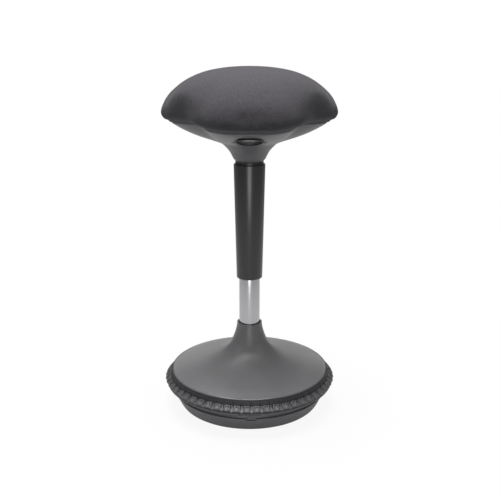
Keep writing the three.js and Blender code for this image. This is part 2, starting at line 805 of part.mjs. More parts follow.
function buildPan() {
  const neck = neckShares.map(([outShare, upShare]) => [
    neckRimRadius + (creaseRadius - neckRimRadius) * outShare,
    neckFoot + neckHeight * upShare,
  ]);
  const dish = dishShares.map((share) => {
    const radius = creaseRadius + (dishRadius - creaseRadius) * share;
    return [radius, dishHeight(radius)];
  });
  const wall = [
    [neckRimRadius, neckFoot], ...neck, [creaseRadius, creaseHeight], ...dish,
    [dishRadius, rimHeight],
  ];
  const innerWall = alternate(offset(wall.slice(1, -1), panWall));
  const rimTop = rimHeight + rimBand;
  const spigotBore = spigotRadius - panWall;
  const profile = [
    [spigotRadius, spigotFoot], [spigotRadius, neckFoot], ...wall,
    [dishRadius, rimTop], [dishRadius - panWall, rimTop],
    ...innerWall.reverse(), [spigotBore, neckFoot], [spigotBore, spigotFoot],
  ];
  const shell = lobed(turned(profile, seatSides));
  const midWall = offset(wall.slice(1), panWall / 2);
  const inside = [[0, midWall[0][1]], ...midWall, [0, midWall.at(-1)[1]]];
  const recessBack = creaseRadius - 2 * panWall - paddleThickness;
  const hoodBack = recessBack - cutOverrun - recessWall;
  const hood = toSolid(recessTunnel(recessWall, hoodBack))
    .intersect(toSolid(lobed(turned(inside, seatSides))));
  const armSlot = block(
    [-leverWidth / 2 - bracketSideGap, -recessBack - cutOverrun, leverFoot - bracketSideGap],
    [leverWidth / 2 + bracketSideGap, cutOverrun - hoodBack, leverFoot + leverThickness + paddleTravel],
  );
  const posts = panScrewPlaces.map(({ x, y, lift }) => {
    const foot = dishHeight(panScrewCircle) + panWall / 2 + lift;
    return bar(panPostRadius, foot, boardFoot + lift - panPostGap, screwSides).translate(x, y, 0);
  });
  const holes = panScrewPlaces.flatMap(({ x, y, lift }) => {
    const low = creaseHeight;
    const seat = panScrewSeat + lift;
    return [
      bar(panScrewHeadRadius + holeGap, low, seat, screwSides).translate(x, y, 0),
      bar(panScrewRadius + holeGap, low, boardFoot + cutOverrun, screwSides).translate(x, y, 0),
    ];
  });
  const recess = recessTunnel(0, recessBack - cutOverrun);
  const pan = shaped(shell, [toGeometry(hood), ...posts], [recess, armSlot, ...holes]);
  addPiece('seat', 'seat_shell', pan, panPlastic);

  const collar = ring(
    spigotRadius + touchGap, neckRimRadius, sleeveTop - collarSink, neckFoot - touchGap, seatSides,
  );
  addPiece('seat', 'neck_collar', collar, blackPlastic);

  const length = panPostFloorToBoard() + panScrewBite;
  const screw = screwShape(panScrewRadius, panScrewHeadRadius, panScrewHead, length);
  panScrewPlaces.forEach(({ x, y, lift }, i) => {
    const place = [x, y, panScrewSeat + lift - touchGap];
    addPiece('seat', `pan_screw_${i + 1}`, screw.clone(), zincSteel, place);
  });
}

function panPostFloorToBoard() {
  return boardFoot - panScrewSeat + touchGap;
}

// Release lever, its pin and bracket
function buildLever() {
  const back = creaseRadius - paddleThickness;
  const recessCentre = creaseHeight + recessCentreRise;
  const bow = (x) => Math.sqrt(1 - (x / recessHalfWidth) ** 2);
  const foot = (x) => recessCentre + paddleGap - recessBelow * bow(x);
  const top = (x) => recessCentre + Math.min(paddleRise, recessAbove * bow(x) - paddleTravel);
  const steps = 14;
  const places = Array.from({ length: steps + 1 }, (_, i) => (
    paddleHalfWidth * ((2 * i) / steps - 1)
  ));
  const paddle = new THREE.Shape([
    ...places.map((x) => new THREE.Vector2(x, foot(x))),
    ...places.reverse().map((x) => new THREE.Vector2(x, top(x))),
  ]);
  const plate = new THREE.ExtrudeGeometry(paddle, {
    depth: paddleThickness, bevelEnabled: false,
  });
  plate.rotateX(Math.PI / 2);
  plate.translate(0, -back, 0);
  const arm = block(
    [-leverWidth / 2, -back - paddleThickness / 2, leverFoot],
    [leverWidth / 2, leverOverhang, leverFoot + leverThickness],
  );
  const hole = bar(pivotRadius + holeGap, -leverWidth, leverWidth, screwSides)
    .rotateY(Math.PI / 2).translate(0, -pivotReach, pivotHeight);
  addPiece('seat', 'release_lever', shaped(closed(plate), [arm], [hole]), panPlastic);
}

function buildBracket() {
  const inner = leverWidth / 2 + bracketSideGap;
  const outer = inner + bracketWall;
  const low = [-outer, -pivotReach - bracketDepth / 2, pivotHeight - bracketDrop];
  const high = [outer, -pivotReach + bracketDepth / 2, plateFoot - touchGap];
  const space = block(
    [-inner, low[1] - cutOverrun, low[2] - cutOverrun],
    [inner, high[1] + cutOverrun, high[2] - bracketWall],
  );
  const hole = bar(pivotRadius + holeGap, -outer - cutOverrun, outer + cutOverrun, screwSides)
    .rotateY(Math.PI / 2).translate(0, -pivotReach, pivotHeight);
  addPiece('seat', 'lever_bracket', shaped(block(low, high), [], [space, hole]), zincSteel);

  const pin = bar(pivotRadius, -outer, outer, screwSides).rotateY(Math.PI / 2);
  addPiece('seat', 'lever_pin', pin, zincSteel, [0, -pivotReach, pivotHeight]);
}

// Mechanism plate, with the hub that grips the cylinder's taper
const plateBoltPlaces = around(4, plateBoltPlace * Math.SQRT2, Math.PI / 4);

function buildPlate() {
  const plate = block(
    [-plateHalfWidth, -plateHalfWidth, plateFoot],
    [plateHalfWidth, plateHalfWidth, plateTop],
  );
  const holes = plateBoltPlaces.map(([x, y]) => (
    bar(plateBoltRadius + holeGap, plateFoot - cutOverrun, plateTop + cutOverrun, screwSides)
      .translate(x, y, 0)
  ));
  addPiece('seat', 'mechanism_plate', shaped(plate, [], holes), zincSteel);

  const hubTop = plateFoot - touchGap;
  const footHeight = cylinderTop - hubFoot;
  const slopeShare = cylinderTaper / cylinderTaperLength;
  const boreAt = (height) => cylinderRadius + touchGap
    - slopeShare * (height - cylinderTop + cylinderTaperLength);
  const hubOuter = cylinderRadius + hubWall;
  const hub = turned([
    [boreAt(footHeight), footHeight], [hubOuter, footHeight],
    [hubOuter, hubTop - hubFlangeThickness], [hubFlangeRadius, hubTop - hubFlangeThickness],
    [hubFlangeRadius, hubTop], [boreAt(cylinderTop), hubTop], [boreAt(cylinderTop), cylinderTop],
  ], smallSides);
  const window = block(
    [-hubWindowHalfWidth, -hubOuter - cutOverrun, cylinderTop + touchGap],
    [hubWindowHalfWidth, 0, cylinderTop + hubWindowHeight],
  );
  addPiece('seat', 'cylinder_hub', shaped(hub, [], [window]), zincSteel);

  const boltSeat = plateFoot - touchGap;
  const bolt = screwShape(
    plateBoltRadius, plateBoltHeadRadius, plateBoltHead, boardTop - touchGap - boltSeat,
  );
  plateBoltPlaces.forEach(([x, y], i) => {
    addPiece('seat', `plate_bolt_${i + 1}`, bolt.clone(), zincSteel, [x, y, boltSeat]);
  });
}

// Seat board with its threaded inserts
function buildBoard() {
  const radius = dishRadius - boardEdge;
  const board = lobed(turned([
    [0, boardFoot], [roundRadius, boardFoot], [radius, boardFoot],
    [radius, boardTop], [roundRadius, boardTop], [0, boardTop],
  ], seatSides));
  const flangeSeat = boardTop - nutFlange - touchGap;
  const holes = plateBoltPlaces.flatMap(([x, y]) => [
    bar(nutBarrelRadius + holeGap, boardFoot - cutOverrun, boardTop + cutOverrun, screwSides)
      .translate(x, y, 0),
    bar(nutFlangeRadius + holeGap, flangeSeat - touchGap, boardTop + cutOverrun, screwSides)
      .translate(x, y, 0),
  ]);
  const pilots = panScrewPlaces.map(({ x, y, lift }) => (
    bar(panScrewRadius + holeGap, boardFoot + lift - cutOverrun, boardFoot + lift + panScrewBite
      + cutOverrun, screwSides).translate(x, y, 0)
  ));
  addPiece('seat', 'seat_board', shaped(board, [], [...holes, ...pilots]), plyWood);

  const bore = plateBoltRadius + holeGap;
  const nut = turned([
    [bore, 0], [nutBarrelRadius, 0], [nutBarrelRadius, nutLength - nutFlange],
    [nutFlangeRadius, nutLength - nutFlange], [nutFlangeRadius, nutLength], [bore, nutLength],
  ], screwSides);
  plateBoltPlaces.forEach(([x, y], i) => {
    const place = [x, y, boardTop - touchGap - nutLength];
    addPiece('seat', `threaded_insert_${i + 1}`, nut.clone(), zincSteel, place);
  });
}

// Foam and fabric cover: a crown with lobes, drawn in below its widest line. The waists bend its sides,
// so the hidden side of its wall has a point for each one outside, and all its outlines run upwards,
// which splits the faces of both sides alike.
function crownLine(inset) {
  return crownShares.map(([outShare, upShare]) => [
    (cushionRadius - inset) * outShare,
    cushionFoot + (cushionHeight - inset) * upShare,
  ]);
}

function buildCushion() {
  const hemFoot = cushionFoot + hemRise;
  const crownTop = cushionFoot + cushionHeight;
  const cover = turned([
    [0, hemFoot], [hemRadius, hemFoot], ...crownLine(0), [0, crownTop],
  ], seatSides);
  const room = turned([
    [0, hemFoot - cutOverrun], [hemRadius, hemFoot - cutOverrun], [hemRadius, hemFoot + coverThickness],
    ...crownLine(coverThickness).slice(1), [0, crownTop - coverThickness],
  ], seatSides);
  const skinOnly = shaped(lobed(cover, waistFade), [], [lobed(room, waistFade)]);
  addPiece('seat', 'seat_cover', skinOnly, seatFabric);

  const skin = coverThickness + foamEase;
  const foamLine = crownLine(skin).slice(1);
  const boardRoom = dishRadius - boardEdge + foamGap;
  const foamFoot = foamLine[0][1] + foamTuck;
  const foam = turned([
    [0, boardTop + foamGap], [roundRadius, boardTop + foamGap], [boardRoom, boardTop + foamGap],
    [boardRoom, foamFoot], [foamLine[0][0] - foamTuck, foamFoot],
    ...foamLine.slice(1), [0, crownTop - skin],
  ], seatSides);
  addPiece('seat', 'seat_foam', lobed(foam, waistFade), foamStuff);
}

buildPad();
buildBowl();
buildShell();
buildGrip();
buildCasingScrews();
buildBallast();
buildSocket();
buildColumn();
buildRod();
buildCylinder();
buildSleeve();
buildPan();
buildLever();
buildBracket();
buildPlate();
buildBoard();
buildCushion();

export default stool;
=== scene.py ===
import json
import math

import bmesh
import bpy
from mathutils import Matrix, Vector

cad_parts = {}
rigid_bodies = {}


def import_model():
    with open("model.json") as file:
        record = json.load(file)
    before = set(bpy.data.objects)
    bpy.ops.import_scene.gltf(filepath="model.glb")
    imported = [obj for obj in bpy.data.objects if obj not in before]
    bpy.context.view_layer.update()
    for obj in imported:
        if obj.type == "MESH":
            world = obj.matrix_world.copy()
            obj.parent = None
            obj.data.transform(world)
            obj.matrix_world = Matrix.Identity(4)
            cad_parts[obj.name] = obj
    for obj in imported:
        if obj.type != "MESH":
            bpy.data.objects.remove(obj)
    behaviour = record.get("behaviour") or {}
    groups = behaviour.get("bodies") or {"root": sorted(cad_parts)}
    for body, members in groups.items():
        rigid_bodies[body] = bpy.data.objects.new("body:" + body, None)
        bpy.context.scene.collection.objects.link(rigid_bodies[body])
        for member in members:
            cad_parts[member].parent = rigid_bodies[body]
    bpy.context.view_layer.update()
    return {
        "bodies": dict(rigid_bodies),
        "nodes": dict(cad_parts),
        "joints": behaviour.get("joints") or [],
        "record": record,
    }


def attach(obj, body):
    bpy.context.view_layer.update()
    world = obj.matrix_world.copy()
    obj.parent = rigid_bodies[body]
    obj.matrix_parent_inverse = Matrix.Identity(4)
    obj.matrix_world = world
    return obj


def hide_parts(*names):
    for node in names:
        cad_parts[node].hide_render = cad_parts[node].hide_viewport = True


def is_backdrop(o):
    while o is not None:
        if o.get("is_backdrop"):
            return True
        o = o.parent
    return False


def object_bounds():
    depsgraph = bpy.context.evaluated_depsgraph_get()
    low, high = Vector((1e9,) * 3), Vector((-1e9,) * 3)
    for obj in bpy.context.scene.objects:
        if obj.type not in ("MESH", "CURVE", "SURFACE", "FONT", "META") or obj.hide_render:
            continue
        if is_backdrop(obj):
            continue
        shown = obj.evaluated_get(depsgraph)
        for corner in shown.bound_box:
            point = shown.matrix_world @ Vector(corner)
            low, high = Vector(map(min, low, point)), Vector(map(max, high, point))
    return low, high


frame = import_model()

bpy.ops.object.select_all(action="DESELECT")
bpy.context.view_layer.objects.active = None

# Wobble stool: lengths in the dictionaries are in millimetres, the front faces -Y.


def mm(length):
    return length * 0.001


# Camera, floor and light
print("camera, floor and light")
camera = {"place": (0, -1667.353, 840.744), "tiltDown": 0.276, "lens": 55.79, "shift": 0.001}
floor = {"size": 16000, "bounce": "cccccc", "seen": "f4f4f4", "shadowShare": 0.08, "shadowReach": (300, 900),
         "inGloss": 0.36}
sky = {"light": 0.08, "inGloss": 0.08}
lamps = {
    "topLamp": {"place": (-120, 0, 2500), "aim": (0, 0, 300), "width": 1700, "height": 1500, "watts": 85},
    "leftLamp": {"place": (-1700, -900, 1500), "aim": (0, 0, 350), "width": 900, "height": 1200, "watts": 3},
    "rightLamp": {"place": (1700, -700, 1500), "aim": (0, 0, 350), "width": 700, "height": 1200, "watts": 3},
    "frontFill": {"place": (0, -2600, 700), "aim": (0, 0, 500), "width": 1300, "height": 500, "watts": 4},
    "frontStrip": {"place": (0, -2600, 300), "aim": (0, 0, 400), "width": 900, "height": 640, "watts": 12,
                   "glossOnly": True},
    "backStrip": {"place": (0, 2600, 800), "aim": (0, 0, 100), "width": 2600, "height": 900, "watts": 9,
                  "glossOnly": True},
}


def addNode(tree, kind, settings=None, values=None, links=None):
    node = tree.nodes.new(kind)
    for name, value in (settings or {}).items():
        setattr(node, name, value)
    for name, value in (values or {}).items():
        node.inputs[name].default_value = value
    for name, source in (links or {}).items():
        tree.links.new(source, node.inputs[name])
    return node


def toLinear(hexColour, strength=1.0):
    channels = [int(hexColour[i:i + 2], 16) / 255 for i in (0, 2, 4)]
    linear = [c / 12.92 if c <= 0.04045 else ((c + 0.055) / 1.055) ** 2.4 for c in channels]
    return (*[c * strength for c in linear], 1.0)


bpy.ops.object.camera_add(
    location=[mm(v) for v in camera["place"]], rotation=(math.pi / 2 - camera["tiltDown"], 0, 0))
viewCamera = bpy.context.object
viewCamera.data.lens = camera["lens"]
viewCamera.data.shift_x = camera["shift"]
bpy.context.scene.camera = viewCamera
bpy.context.scene.view_settings.view_transform = "Standard"

bpy.ops.mesh.primitive_plane_add(size=mm(floor["size"]))
floorPlane = bpy.context.object
floorPlane.name = "studioFloor"
floorPlane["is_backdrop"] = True
floorPaper = bpy.data.materials.new("studioPaper")
floorPaper.use_nodes = True
tree = floorPaper.node_tree
tree.nodes.clear()
rays = addNode(tree, "ShaderNodeLightPath")
shade = addNode(tree, "ShaderNodeMix", {"data_type": "RGBA"},
                {6: toLinear(floor["bounce"]), 7: toLinear(floor["seen"])}, {0: rays.outputs["Is Camera Ray"]})
paper = addNode(tree, "ShaderNodeBsdfDiffuse", links={"Color": shade.outputs[2]})
glow = addNode(tree, "ShaderNodeEmission", values={"Color": (1, 1, 1, 1), "Strength": 1.0})
spot = addNode(tree, "ShaderNodeVectorMath", {"operation": "LENGTH"},
               links={0: addNode(tree, "ShaderNodeTexCoord").outputs["Object"]})
near, far = floor["shadowReach"]
white = addNode(tree, "ShaderNodeMapRange", {"interpolation_type": "SMOOTHSTEP"},
                {1: mm(near), 2: mm(far), 3: 1 - floor["shadowShare"], 4: 1.0}, {0: spot.outputs["Value"]})
seen = addNode(tree, "ShaderNodeMath", {"operation": "MULTIPLY"},
               links={0: rays.outputs["Is Camera Ray"], 1: white.outputs[0]})
both = addNode(tree, "ShaderNodeMath", {"operation": "MULTIPLY_ADD"}, {1: floor["inGloss"]},
               {0: rays.outputs["Is Glossy Ray"], 2: seen.outputs[0]})
mixed = addNode(tree, "ShaderNodeMixShader", links={
    0: both.outputs[0], 1: paper.outputs[0], 2: glow.outputs[0]})
addNode(tree, "ShaderNodeOutputMaterial", links={"Surface": mixed.outputs[0]})
floorPlane.data.materials.append(floorPaper)

world = bpy.data.worlds.new("studioSky")
bpy.context.scene.world = world
world.use_nodes = True
tree = world.node_tree
tree.nodes.clear()
rays = addNode(tree, "ShaderNodeLightPath")
soft = addNode(tree, "ShaderNodeBackground", values={"Color": (1, 1, 1, 1), "Strength": sky["light"]})
white = addNode(tree, "ShaderNodeBackground", values={"Color": (1, 1, 1, 1), "Strength": 1.0})
gloss = addNode(tree, "ShaderNodeMath", {"operation": "MULTIPLY_ADD"}, {1: sky["inGloss"]},
                {0: rays.outputs["Is Glossy Ray"], 2: rays.outputs["Is Camera Ray"]})
mixed = addNode(tree, "ShaderNodeMixShader", links={
    0: gloss.outputs[0], 1: soft.outputs[0], 2: white.outputs[0]})
addNode(tree, "ShaderNodeOutputWorld", links={"Surface": mixed.outputs[0]})

for name, lamp in lamps.items():
    start, aim = Vector(lamp["place"]), Vector(lamp["aim"])
    bpy.ops.object.light_add(type="AREA", location=[mm(v) for v in start])
    light = bpy.context.object
    light.name = name
    light.rotation_euler = (aim - start).to_track_quat("-Z", "Y").to_euler()
    light.data.shape = "RECTANGLE"
    light.data.size = mm(lamp["width"])
    light.data.size_y = mm(lamp["height"])
    light.data.energy = lamp["watts"]
    light.visible_diffuse = not lamp.get("glossOnly", False)


# Materials
print("materials")


def startMaterial(name, colour, roughness, metallic=0.0, ior=1.5):
    material = bpy.data.materials.new(name)
    material.use_nodes = True
    tree = material.node_tree
    shader = tree.nodes["Principled BSDF"]
    shader.inputs["Base Color"].default_value = toLinear(colour)
    shader.inputs["Roughness"].default_value = roughness
    shader.inputs["Metallic"].default_value = metallic
    shader.inputs["IOR"].default_value = ior
    place = addNode(tree, "ShaderNodeTexCoord").outputs["Object"]
    return material, tree, shader, place


def mixColours(tree, shader, mask, first, second):
    # the mask runs the colour from the first to the second
    mix = addNode(tree, "ShaderNodeMix", {"data_type": "RGBA"}, {6: toLinear(first), 7: toLinear(second)},
                  {0: mask})
    tree.links.new(mix.outputs[2], shader.inputs["Base Color"])
    return mix


def addBump(tree, shader, height, depth):
    # height is 0 to 1, depth is its real size in millimetres
    bump = addNode(tree, "ShaderNodeBump", values={"Strength": 1.0, "Distance": mm(depth)},
                   links={"Height": height})
    tree.links.new(bump.outputs["Normal"], shader.inputs["Normal"])
    return bump


def mouldedPolypropylene(name, colour, worn, roughness, grain=0.9, depth=0.035, rim=None):
    # spark-eroded mould: a fine, even grain that softens every highlight, and a faint cloudiness from the melt.
    # A rim beyond a given radius is left smoother by the mould, so that it draws a thin light line.
    material, tree, shader, place = startMaterial(name, colour, roughness, ior=1.49)
    clouds = addNode(tree, "ShaderNodeTexNoise", values={"Scale": 1 / mm(70), "Detail": 3.0}, links={"Vector": place})
    spread = addNode(tree, "ShaderNodeMapRange", values={1: 0.3, 2: 0.7, 3: 0.0, 4: 1.0},
                     links={0: clouds.outputs[0]})
    mixColours(tree, shader, spread.outputs[0], colour, worn)
    grit = addNode(tree, "ShaderNodeTexNoise", values={"Scale": 1 / mm(grain), "Detail": 2.0}, links={"Vector": place})
    addBump(tree, shader, grit.outputs[0], depth)
    rough = addNode(tree, "ShaderNodeMapRange", values={1: 0.3, 2: 0.7, 3: roughness - 0.04, 4: roughness + 0.05},
                    links={0: grit.outputs[0]})
    if rim:
        flat = addNode(tree, "ShaderNodeVectorMath", {"operation": "MULTIPLY"}, {1: (1, 1, 0)}, {0: place})
        out = addNode(tree, "ShaderNodeVectorMath", {"operation": "LENGTH"}, links={0: flat.outputs[0]})
        share = addNode(tree, "ShaderNodeMapRange", values={1: mm(rim["from"]), 2: mm(rim["to"]), 3: 1.0,
                                                            4: rim["share"]}, links={0: out.outputs["Value"]})
        rough = addNode(tree, "ShaderNodeMath", {"operation": "MULTIPLY"},
                        links={0: rough.outputs[0], 1: share.outputs[0]})
    tree.links.new(rough.outputs[0], shader.inputs["Roughness"])
    return material


def satinAbs(name, colour, worn, roughness):
    # polished mould with a satin bloom: long soft highlights, hardly any grain
    material, tree, shader, place = startMaterial(name, colour, roughness, ior=1.53)
    drift = addNode(tree, "ShaderNodeMapping", values={"Scale": (1.0, 1.0, 0.15)}, links={"Vector": place})
    clouds = addNode(tree, "ShaderNodeTexNoise", values={"Scale": 1 / mm(25), "Detail": 2.0},
                     links={"Vector": drift.outputs[0]})
    mixColours(tree, shader, clouds.outputs[0], colour, worn)
    grit = addNode(tree, "ShaderNodeTexNoise", values={"Scale": 1 / mm(1.2), "Detail": 2.0}, links={"Vector": place})
    addBump(tree, shader, grit.outputs[0], 0.012)
    rough = addNode(tree, "ShaderNodeMapRange", values={1: 0.3, 2: 0.7, 3: roughness - 0.03, 4: roughness + 0.04},
                    links={0: clouds.outputs[0]})
    tree.links.new(rough.outputs[0], shader.inputs["Roughness"])
    return material


def mouldedRubber(name, colour, dusty, roughness, grain=0.7, depth=0.06):
    # vulcanised rubber: matt and a little dusty where the surface is open
    material, tree, shader, place = startMaterial(name, colour, roughness, ior=1.52)
    dust = addNode(tree, "ShaderNodeTexNoise", values={"Scale": 1 / mm(18), "Detail": 4.0}, links={"Vector": place})
    spread = addNode(tree, "ShaderNodeMapRange", values={1: 0.35, 2: 0.75, 3: 0.0, 4: 1.0},
                     links={0: dust.outputs[0]})
    mixColours(tree, shader, spread.outputs[0], colour, dusty)
    grit = addNode(tree, "ShaderNodeTexNoise", values={"Scale": 1 / mm(grain), "Detail": 3.0}, links={"Vector": place})
    addBump(tree, shader, grit.outputs[0], depth)
    return material


def brushedSteel(name, colour, streak, roughness, across=0.25, along=40):
    # drawn tube, linished lengthways: fine streaks that run with the tube
    material, tree, shader, place = startMaterial(name, colour, roughness, metallic=1.0)
    stretch = addNode(tree, "ShaderNodeMapping",
                      values={"Scale": (1 / mm(across), 1 / mm(across), 1 / mm(along))}, links={"Vector": place})
    lines = addNode(tree, "ShaderNodeTexNoise", values={"Scale": 1.0, "Detail": 3.0},
                    links={"Vector": stretch.outputs[0]})
    mixColours(tree, shader, lines.outputs[0], colour, streak)
    rough = addNode(tree, "ShaderNodeMapRange", values={1: 0.3, 2: 0.7, 3: roughness - 0.06, 4: roughness + 0.08},
                    links={0: lines.outputs[0]})
    tree.links.new(rough.outputs[0], shader.inputs["Roughness"])
    addBump(tree, shader, lines.outputs[0], 0.006)
    return material


def platedSteel(name, colour, dull, roughness, crystal=2.5):
    # zinc or chrome plate: the crystals show as small changes of gloss
    material, tree, shader, place = startMaterial(name, colour, roughness, metallic=1.0)
    cells = addNode(tree, "ShaderNodeTexVoronoi", values={"Scale": 1 / mm(crystal)}, links={"Vector": place})
    mixColours(tree, shader, cells.outputs["Distance"], colour, dull)
    rough = addNode(tree, "ShaderNodeMapRange", values={1: 0.0, 2: 1.0, 3: roughness, 4: roughness + 0.08},
                    links={0: cells.outputs["Distance"]})
    tree.links.new(rough.outputs[0], shader.inputs["Roughness"])
    return material


def sandCastIron(name, colour, rust):
    # sand casting: a pitted skin with a breath of rust in the hollows
    material, tree, shader, place = startMaterial(name, colour, 0.75, metallic=0.6)
    sand = addNode(tree, "ShaderNodeTexNoise", values={"Scale": 1 / mm(2.2), "Detail": 6.0}, links={"Vector": place})
    stain = addNode(tree, "ShaderNodeTexNoise", values={"Scale": 1 / mm(30), "Detail": 4.0}, links={"Vector": place})
    spread = addNode(tree, "ShaderNodeMapRange", values={1: 0.55, 2: 0.8, 3: 0.0, 4: 0.7},
                     links={0: stain.outputs[0]})
    mixColours(tree, shader, spread.outputs[0], colour, rust)
    addBump(tree, shader, sand.outputs[0], 0.35)
    return material


def birchPlywood(name, pale, dark):
    # rotary-cut birch: pale, with long cloudy grain and thin darker glue lines on the edge
    material, tree, shader, place = startMaterial(name, pale, 0.62)
    stretch = addNode(tree, "ShaderNodeMapping", values={"Scale": (1 / mm(9), 1 / mm(90), 1 / mm(9))},
                      links={"Vector": place})
    grain = addNode(tree, "ShaderNodeTexNoise", values={"Scale": 1.0, "Detail": 6.0},
                    links={"Vector": stretch.outputs[0]})
    plies = addNode(tree, "ShaderNodeTexWave", {"bands_direction": "Z"},
                    {"Scale": 1 / mm(9), "Distortion": 0.3}, {"Vector": place})
    blend = addNode(tree, "ShaderNodeMath", {"operation": "MULTIPLY"},
                    links={0: grain.outputs[0], 1: plies.outputs["Fac"]})
    mixColours(tree, shader, blend.outputs[0], pale, dark)
    addBump(tree, shader, grain.outputs[0], 0.05)
    return material


def mouldedFoam(name, pale, dark):
    # open-cell polyurethane: tiny round pores, painted darker at their middles as painted shade in the hollows; no
    # gloss
    material, tree, shader, place = startMaterial(name, pale, 0.95)
    pores = addNode(tree, "ShaderNodeTexVoronoi", values={"Scale": 1 / mm(2)}, links={"Vector": place})
    # dark at each pore's middle, pale between them: painted shade in the pores
    mixColours(tree, shader, pores.outputs["Distance"], dark, pale)
    addBump(tree, shader, pores.outputs["Distance"], 0.4)
    return material


def wovenPolyester(name, warp, weft, thread):
    # plain-weave upholstery: matt, with a soft sheen at the edges of the form. The real threads are about
    # 0.6 mm apart, too fine to show, so they are drawn coarser. The weave follows whichever way a face looks.
    material, tree, shader, place = startMaterial(name, warp, 0.9, ior=1.45)
    shader.inputs["Sheen Weight"].default_value = 0.07
    shader.inputs["Sheen Roughness"].default_value = 0.5
    shader.inputs["Specular IOR Level"].default_value = 0.22
    turns = addNode(tree, "ShaderNodeVectorMath", {"operation": "SCALE"}, {3: math.pi / mm(thread)}, {0: place})
    waves = addNode(tree, "ShaderNodeVectorMath", {"operation": "SINE"}, links={0: turns.outputs[0]})
    threads = addNode(tree, "ShaderNodeSeparateXYZ", links={0: waves.outputs[0]})
    facing = addNode(tree, "ShaderNodeVectorMath", {"operation": "ABSOLUTE"}, links={
        0: addNode(tree, "ShaderNodeNewGeometry").outputs["Normal"]})
    sides = addNode(tree, "ShaderNodeSeparateXYZ", links={0: facing.outputs[0]})
    x, y, z = threads.outputs
    total = None
    for first, second, weight in ((x, y, sides.outputs[2]), (x, z, sides.outputs[1]), (y, z, sides.outputs[0])):
        crossing = addNode(tree, "ShaderNodeMath", {"operation": "MULTIPLY"}, links={0: first, 1: second})
        links = {0: crossing.outputs[0], 1: weight}
        if total is not None:
            links[2] = total
        total = addNode(tree, "ShaderNodeMath", {"operation": "MULTIPLY_ADD"}, {2: 0.0}, links).outputs[0]
    slub = addNode(tree, "ShaderNodeTexNoise", values={"Scale": 1 / mm(4), "Detail": 4.0}, links={"Vector": place})
    level = addNode(tree, "ShaderNodeMapRange", values={1: -1.0, 2: 1.0, 3: 0.0, 4: 0.3}, links={0: total})
    uneven = addNode(tree, "ShaderNodeMath", {"operation": "MULTIPLY_ADD"}, {1: 0.9},
                     {0: slub.outputs[0], 2: level.outputs[0]})
    mixColours(tree, shader, uneven.outputs[0], weft, warp)
    addBump(tree, shader, uneven.outputs[0], 0.45)
    return material


greyCase = mouldedPolypropylene("mouldedPolypropyleneGrey", "757476", "7c7b7d", 0.38,
                                rim={"from": 174.2, "to": 175.4, "share": 0.45})
bowlCase = mouldedPolypropylene("mouldedPolypropyleneBowl", "6c6b6e", "727174", 0.4)
panCase = mouldedPolypropylene("mouldedNylonPan", "5c5b5e", "636265", 0.4)
# the paddle's plastic is painted much paler than the pan: painted light that makes up for the shade of the recess it
# sits in
paddlePaintedLight = mouldedPolypropylene("mouldedNylonPaddlePaintedLight", "c4c3c6", "cbcacd", 0.3)
sleeveCase = satinAbs("satinAbsSleeve", "302f32", "353437", 0.3)
blackAcetal = satinAbs("turnedAcetal", "1a1a1c", "222224", 0.4)
treadRubber = mouldedRubber("vulcanisedRubberTread", "5b5a5d", "656467", 0.42)
# near-black rubber for the band and the collar: painted shade in the tread gaps and in the gap under the casing's
# skirt
paintedShadeRubber = mouldedRubber("vulcanisedRubberPaintedShade", "29282b", "302f32", 0.6)
padRubber = mouldedRubber("vulcanisedRubberPad", "1d1d1f", "2a292b", 0.8, grain=1.2, depth=0.12)
tubeSteel = brushedSteel("linishedSteelTube", "bcbbbe", "b0afb2", 0.22)
polishedChrome = platedSteel("polishedChrome", "d9d9dc", "cfcfd3", 0.1)
zincPlate = platedSteel("zincPlatedSteel", "a9aaae", "94959a", 0.32)
ballastIron = sandCastIron("sandCastIron", "3b3c3f", "54443a")
seatPly = birchPlywood("birchPlywood", "c9a877", "a9834f")
seatFoam = mouldedFoam("mouldedPolyurethaneFoam", "ddd5b4", "c2b68d")
seatCloth = wovenPolyester("wovenPolyester", "4f4d51", "2c2a2e", 1.7)
hemCloth = satinAbs("coatedBaseCloth", "2f2e31", "363538", 0.7)

cadFinishes = {
    "black_plastic": blackAcetal, "pad_rubber": padRubber, "satin_steel": tubeSteel,
    "chrome_steel": polishedChrome, "zinc_steel": zincPlate, "cast_iron": ballastIron,
    "plywood": seatPly, "foam": seatFoam, "seat_fabric": seatCloth, "casing_plastic": greyCase,
    "bowl_plastic": bowlCase, "pan_plastic": panCase, "sleeve_plastic": sleeveCase,
    "tread_rubber": treadRubber,
}


# Modelling steps that several pieces share


def makeActive(piece):
    bpy.ops.object.select_all(action="DESELECT")
    piece.select_set(True)
    bpy.context.view_layer.objects.active = piece


def finishPiece(piece, material, body, stands, angle=32):
    # smooth shading, material, and its place in the assembly
    makeActive(piece)
    bpy.ops.object.transform_apply(location=True, rotation=True, scale=True)
    bpy.ops.object.shade_smooth_by_angle(angle=math.radians(angle))
    piece.data.materials.clear()
    piece.data.materials.append(material)
    if stands:
        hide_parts(*stands)
    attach(piece, body)
    bpy.ops.object.select_all(action="DESELECT")
    return piece


def smoothLine(points, parts):
    # a curve through all the points, with that many parts between two of them
    line = []
    for i in range(len(points) - 1):
        before, start = points[max(i - 1, 0)], points[i]
        end, after = points[i + 1], points[min(i + 2, len(points) - 1)]
        for k in range(parts):
            t = k / parts
            line.append([
                0.5 * (2 * start[a] + (end[a] - before[a]) * t
                       + (2 * before[a] - 5 * start[a] + 4 * end[a] - after[a]) * t ** 2
                       + (3 * start[a] - before[a] - 3 * end[a] + after[a]) * t ** 3)
                for a in (0, 1)])
    return line + [list(points[-1])]


def offsetLine(points, distance):
    moved = []
    for i, (radius, height) in enumerate(points):
        before, after = points[max(i - 1, 0)], points[min(i + 1, len(points) - 1)]
        run, rise = after[0] - before[0], after[1] - before[1]
        length = math.hypot(run, rise)
        moved.append([radius - distance * rise / length, height + distance * run / length])
    return moved


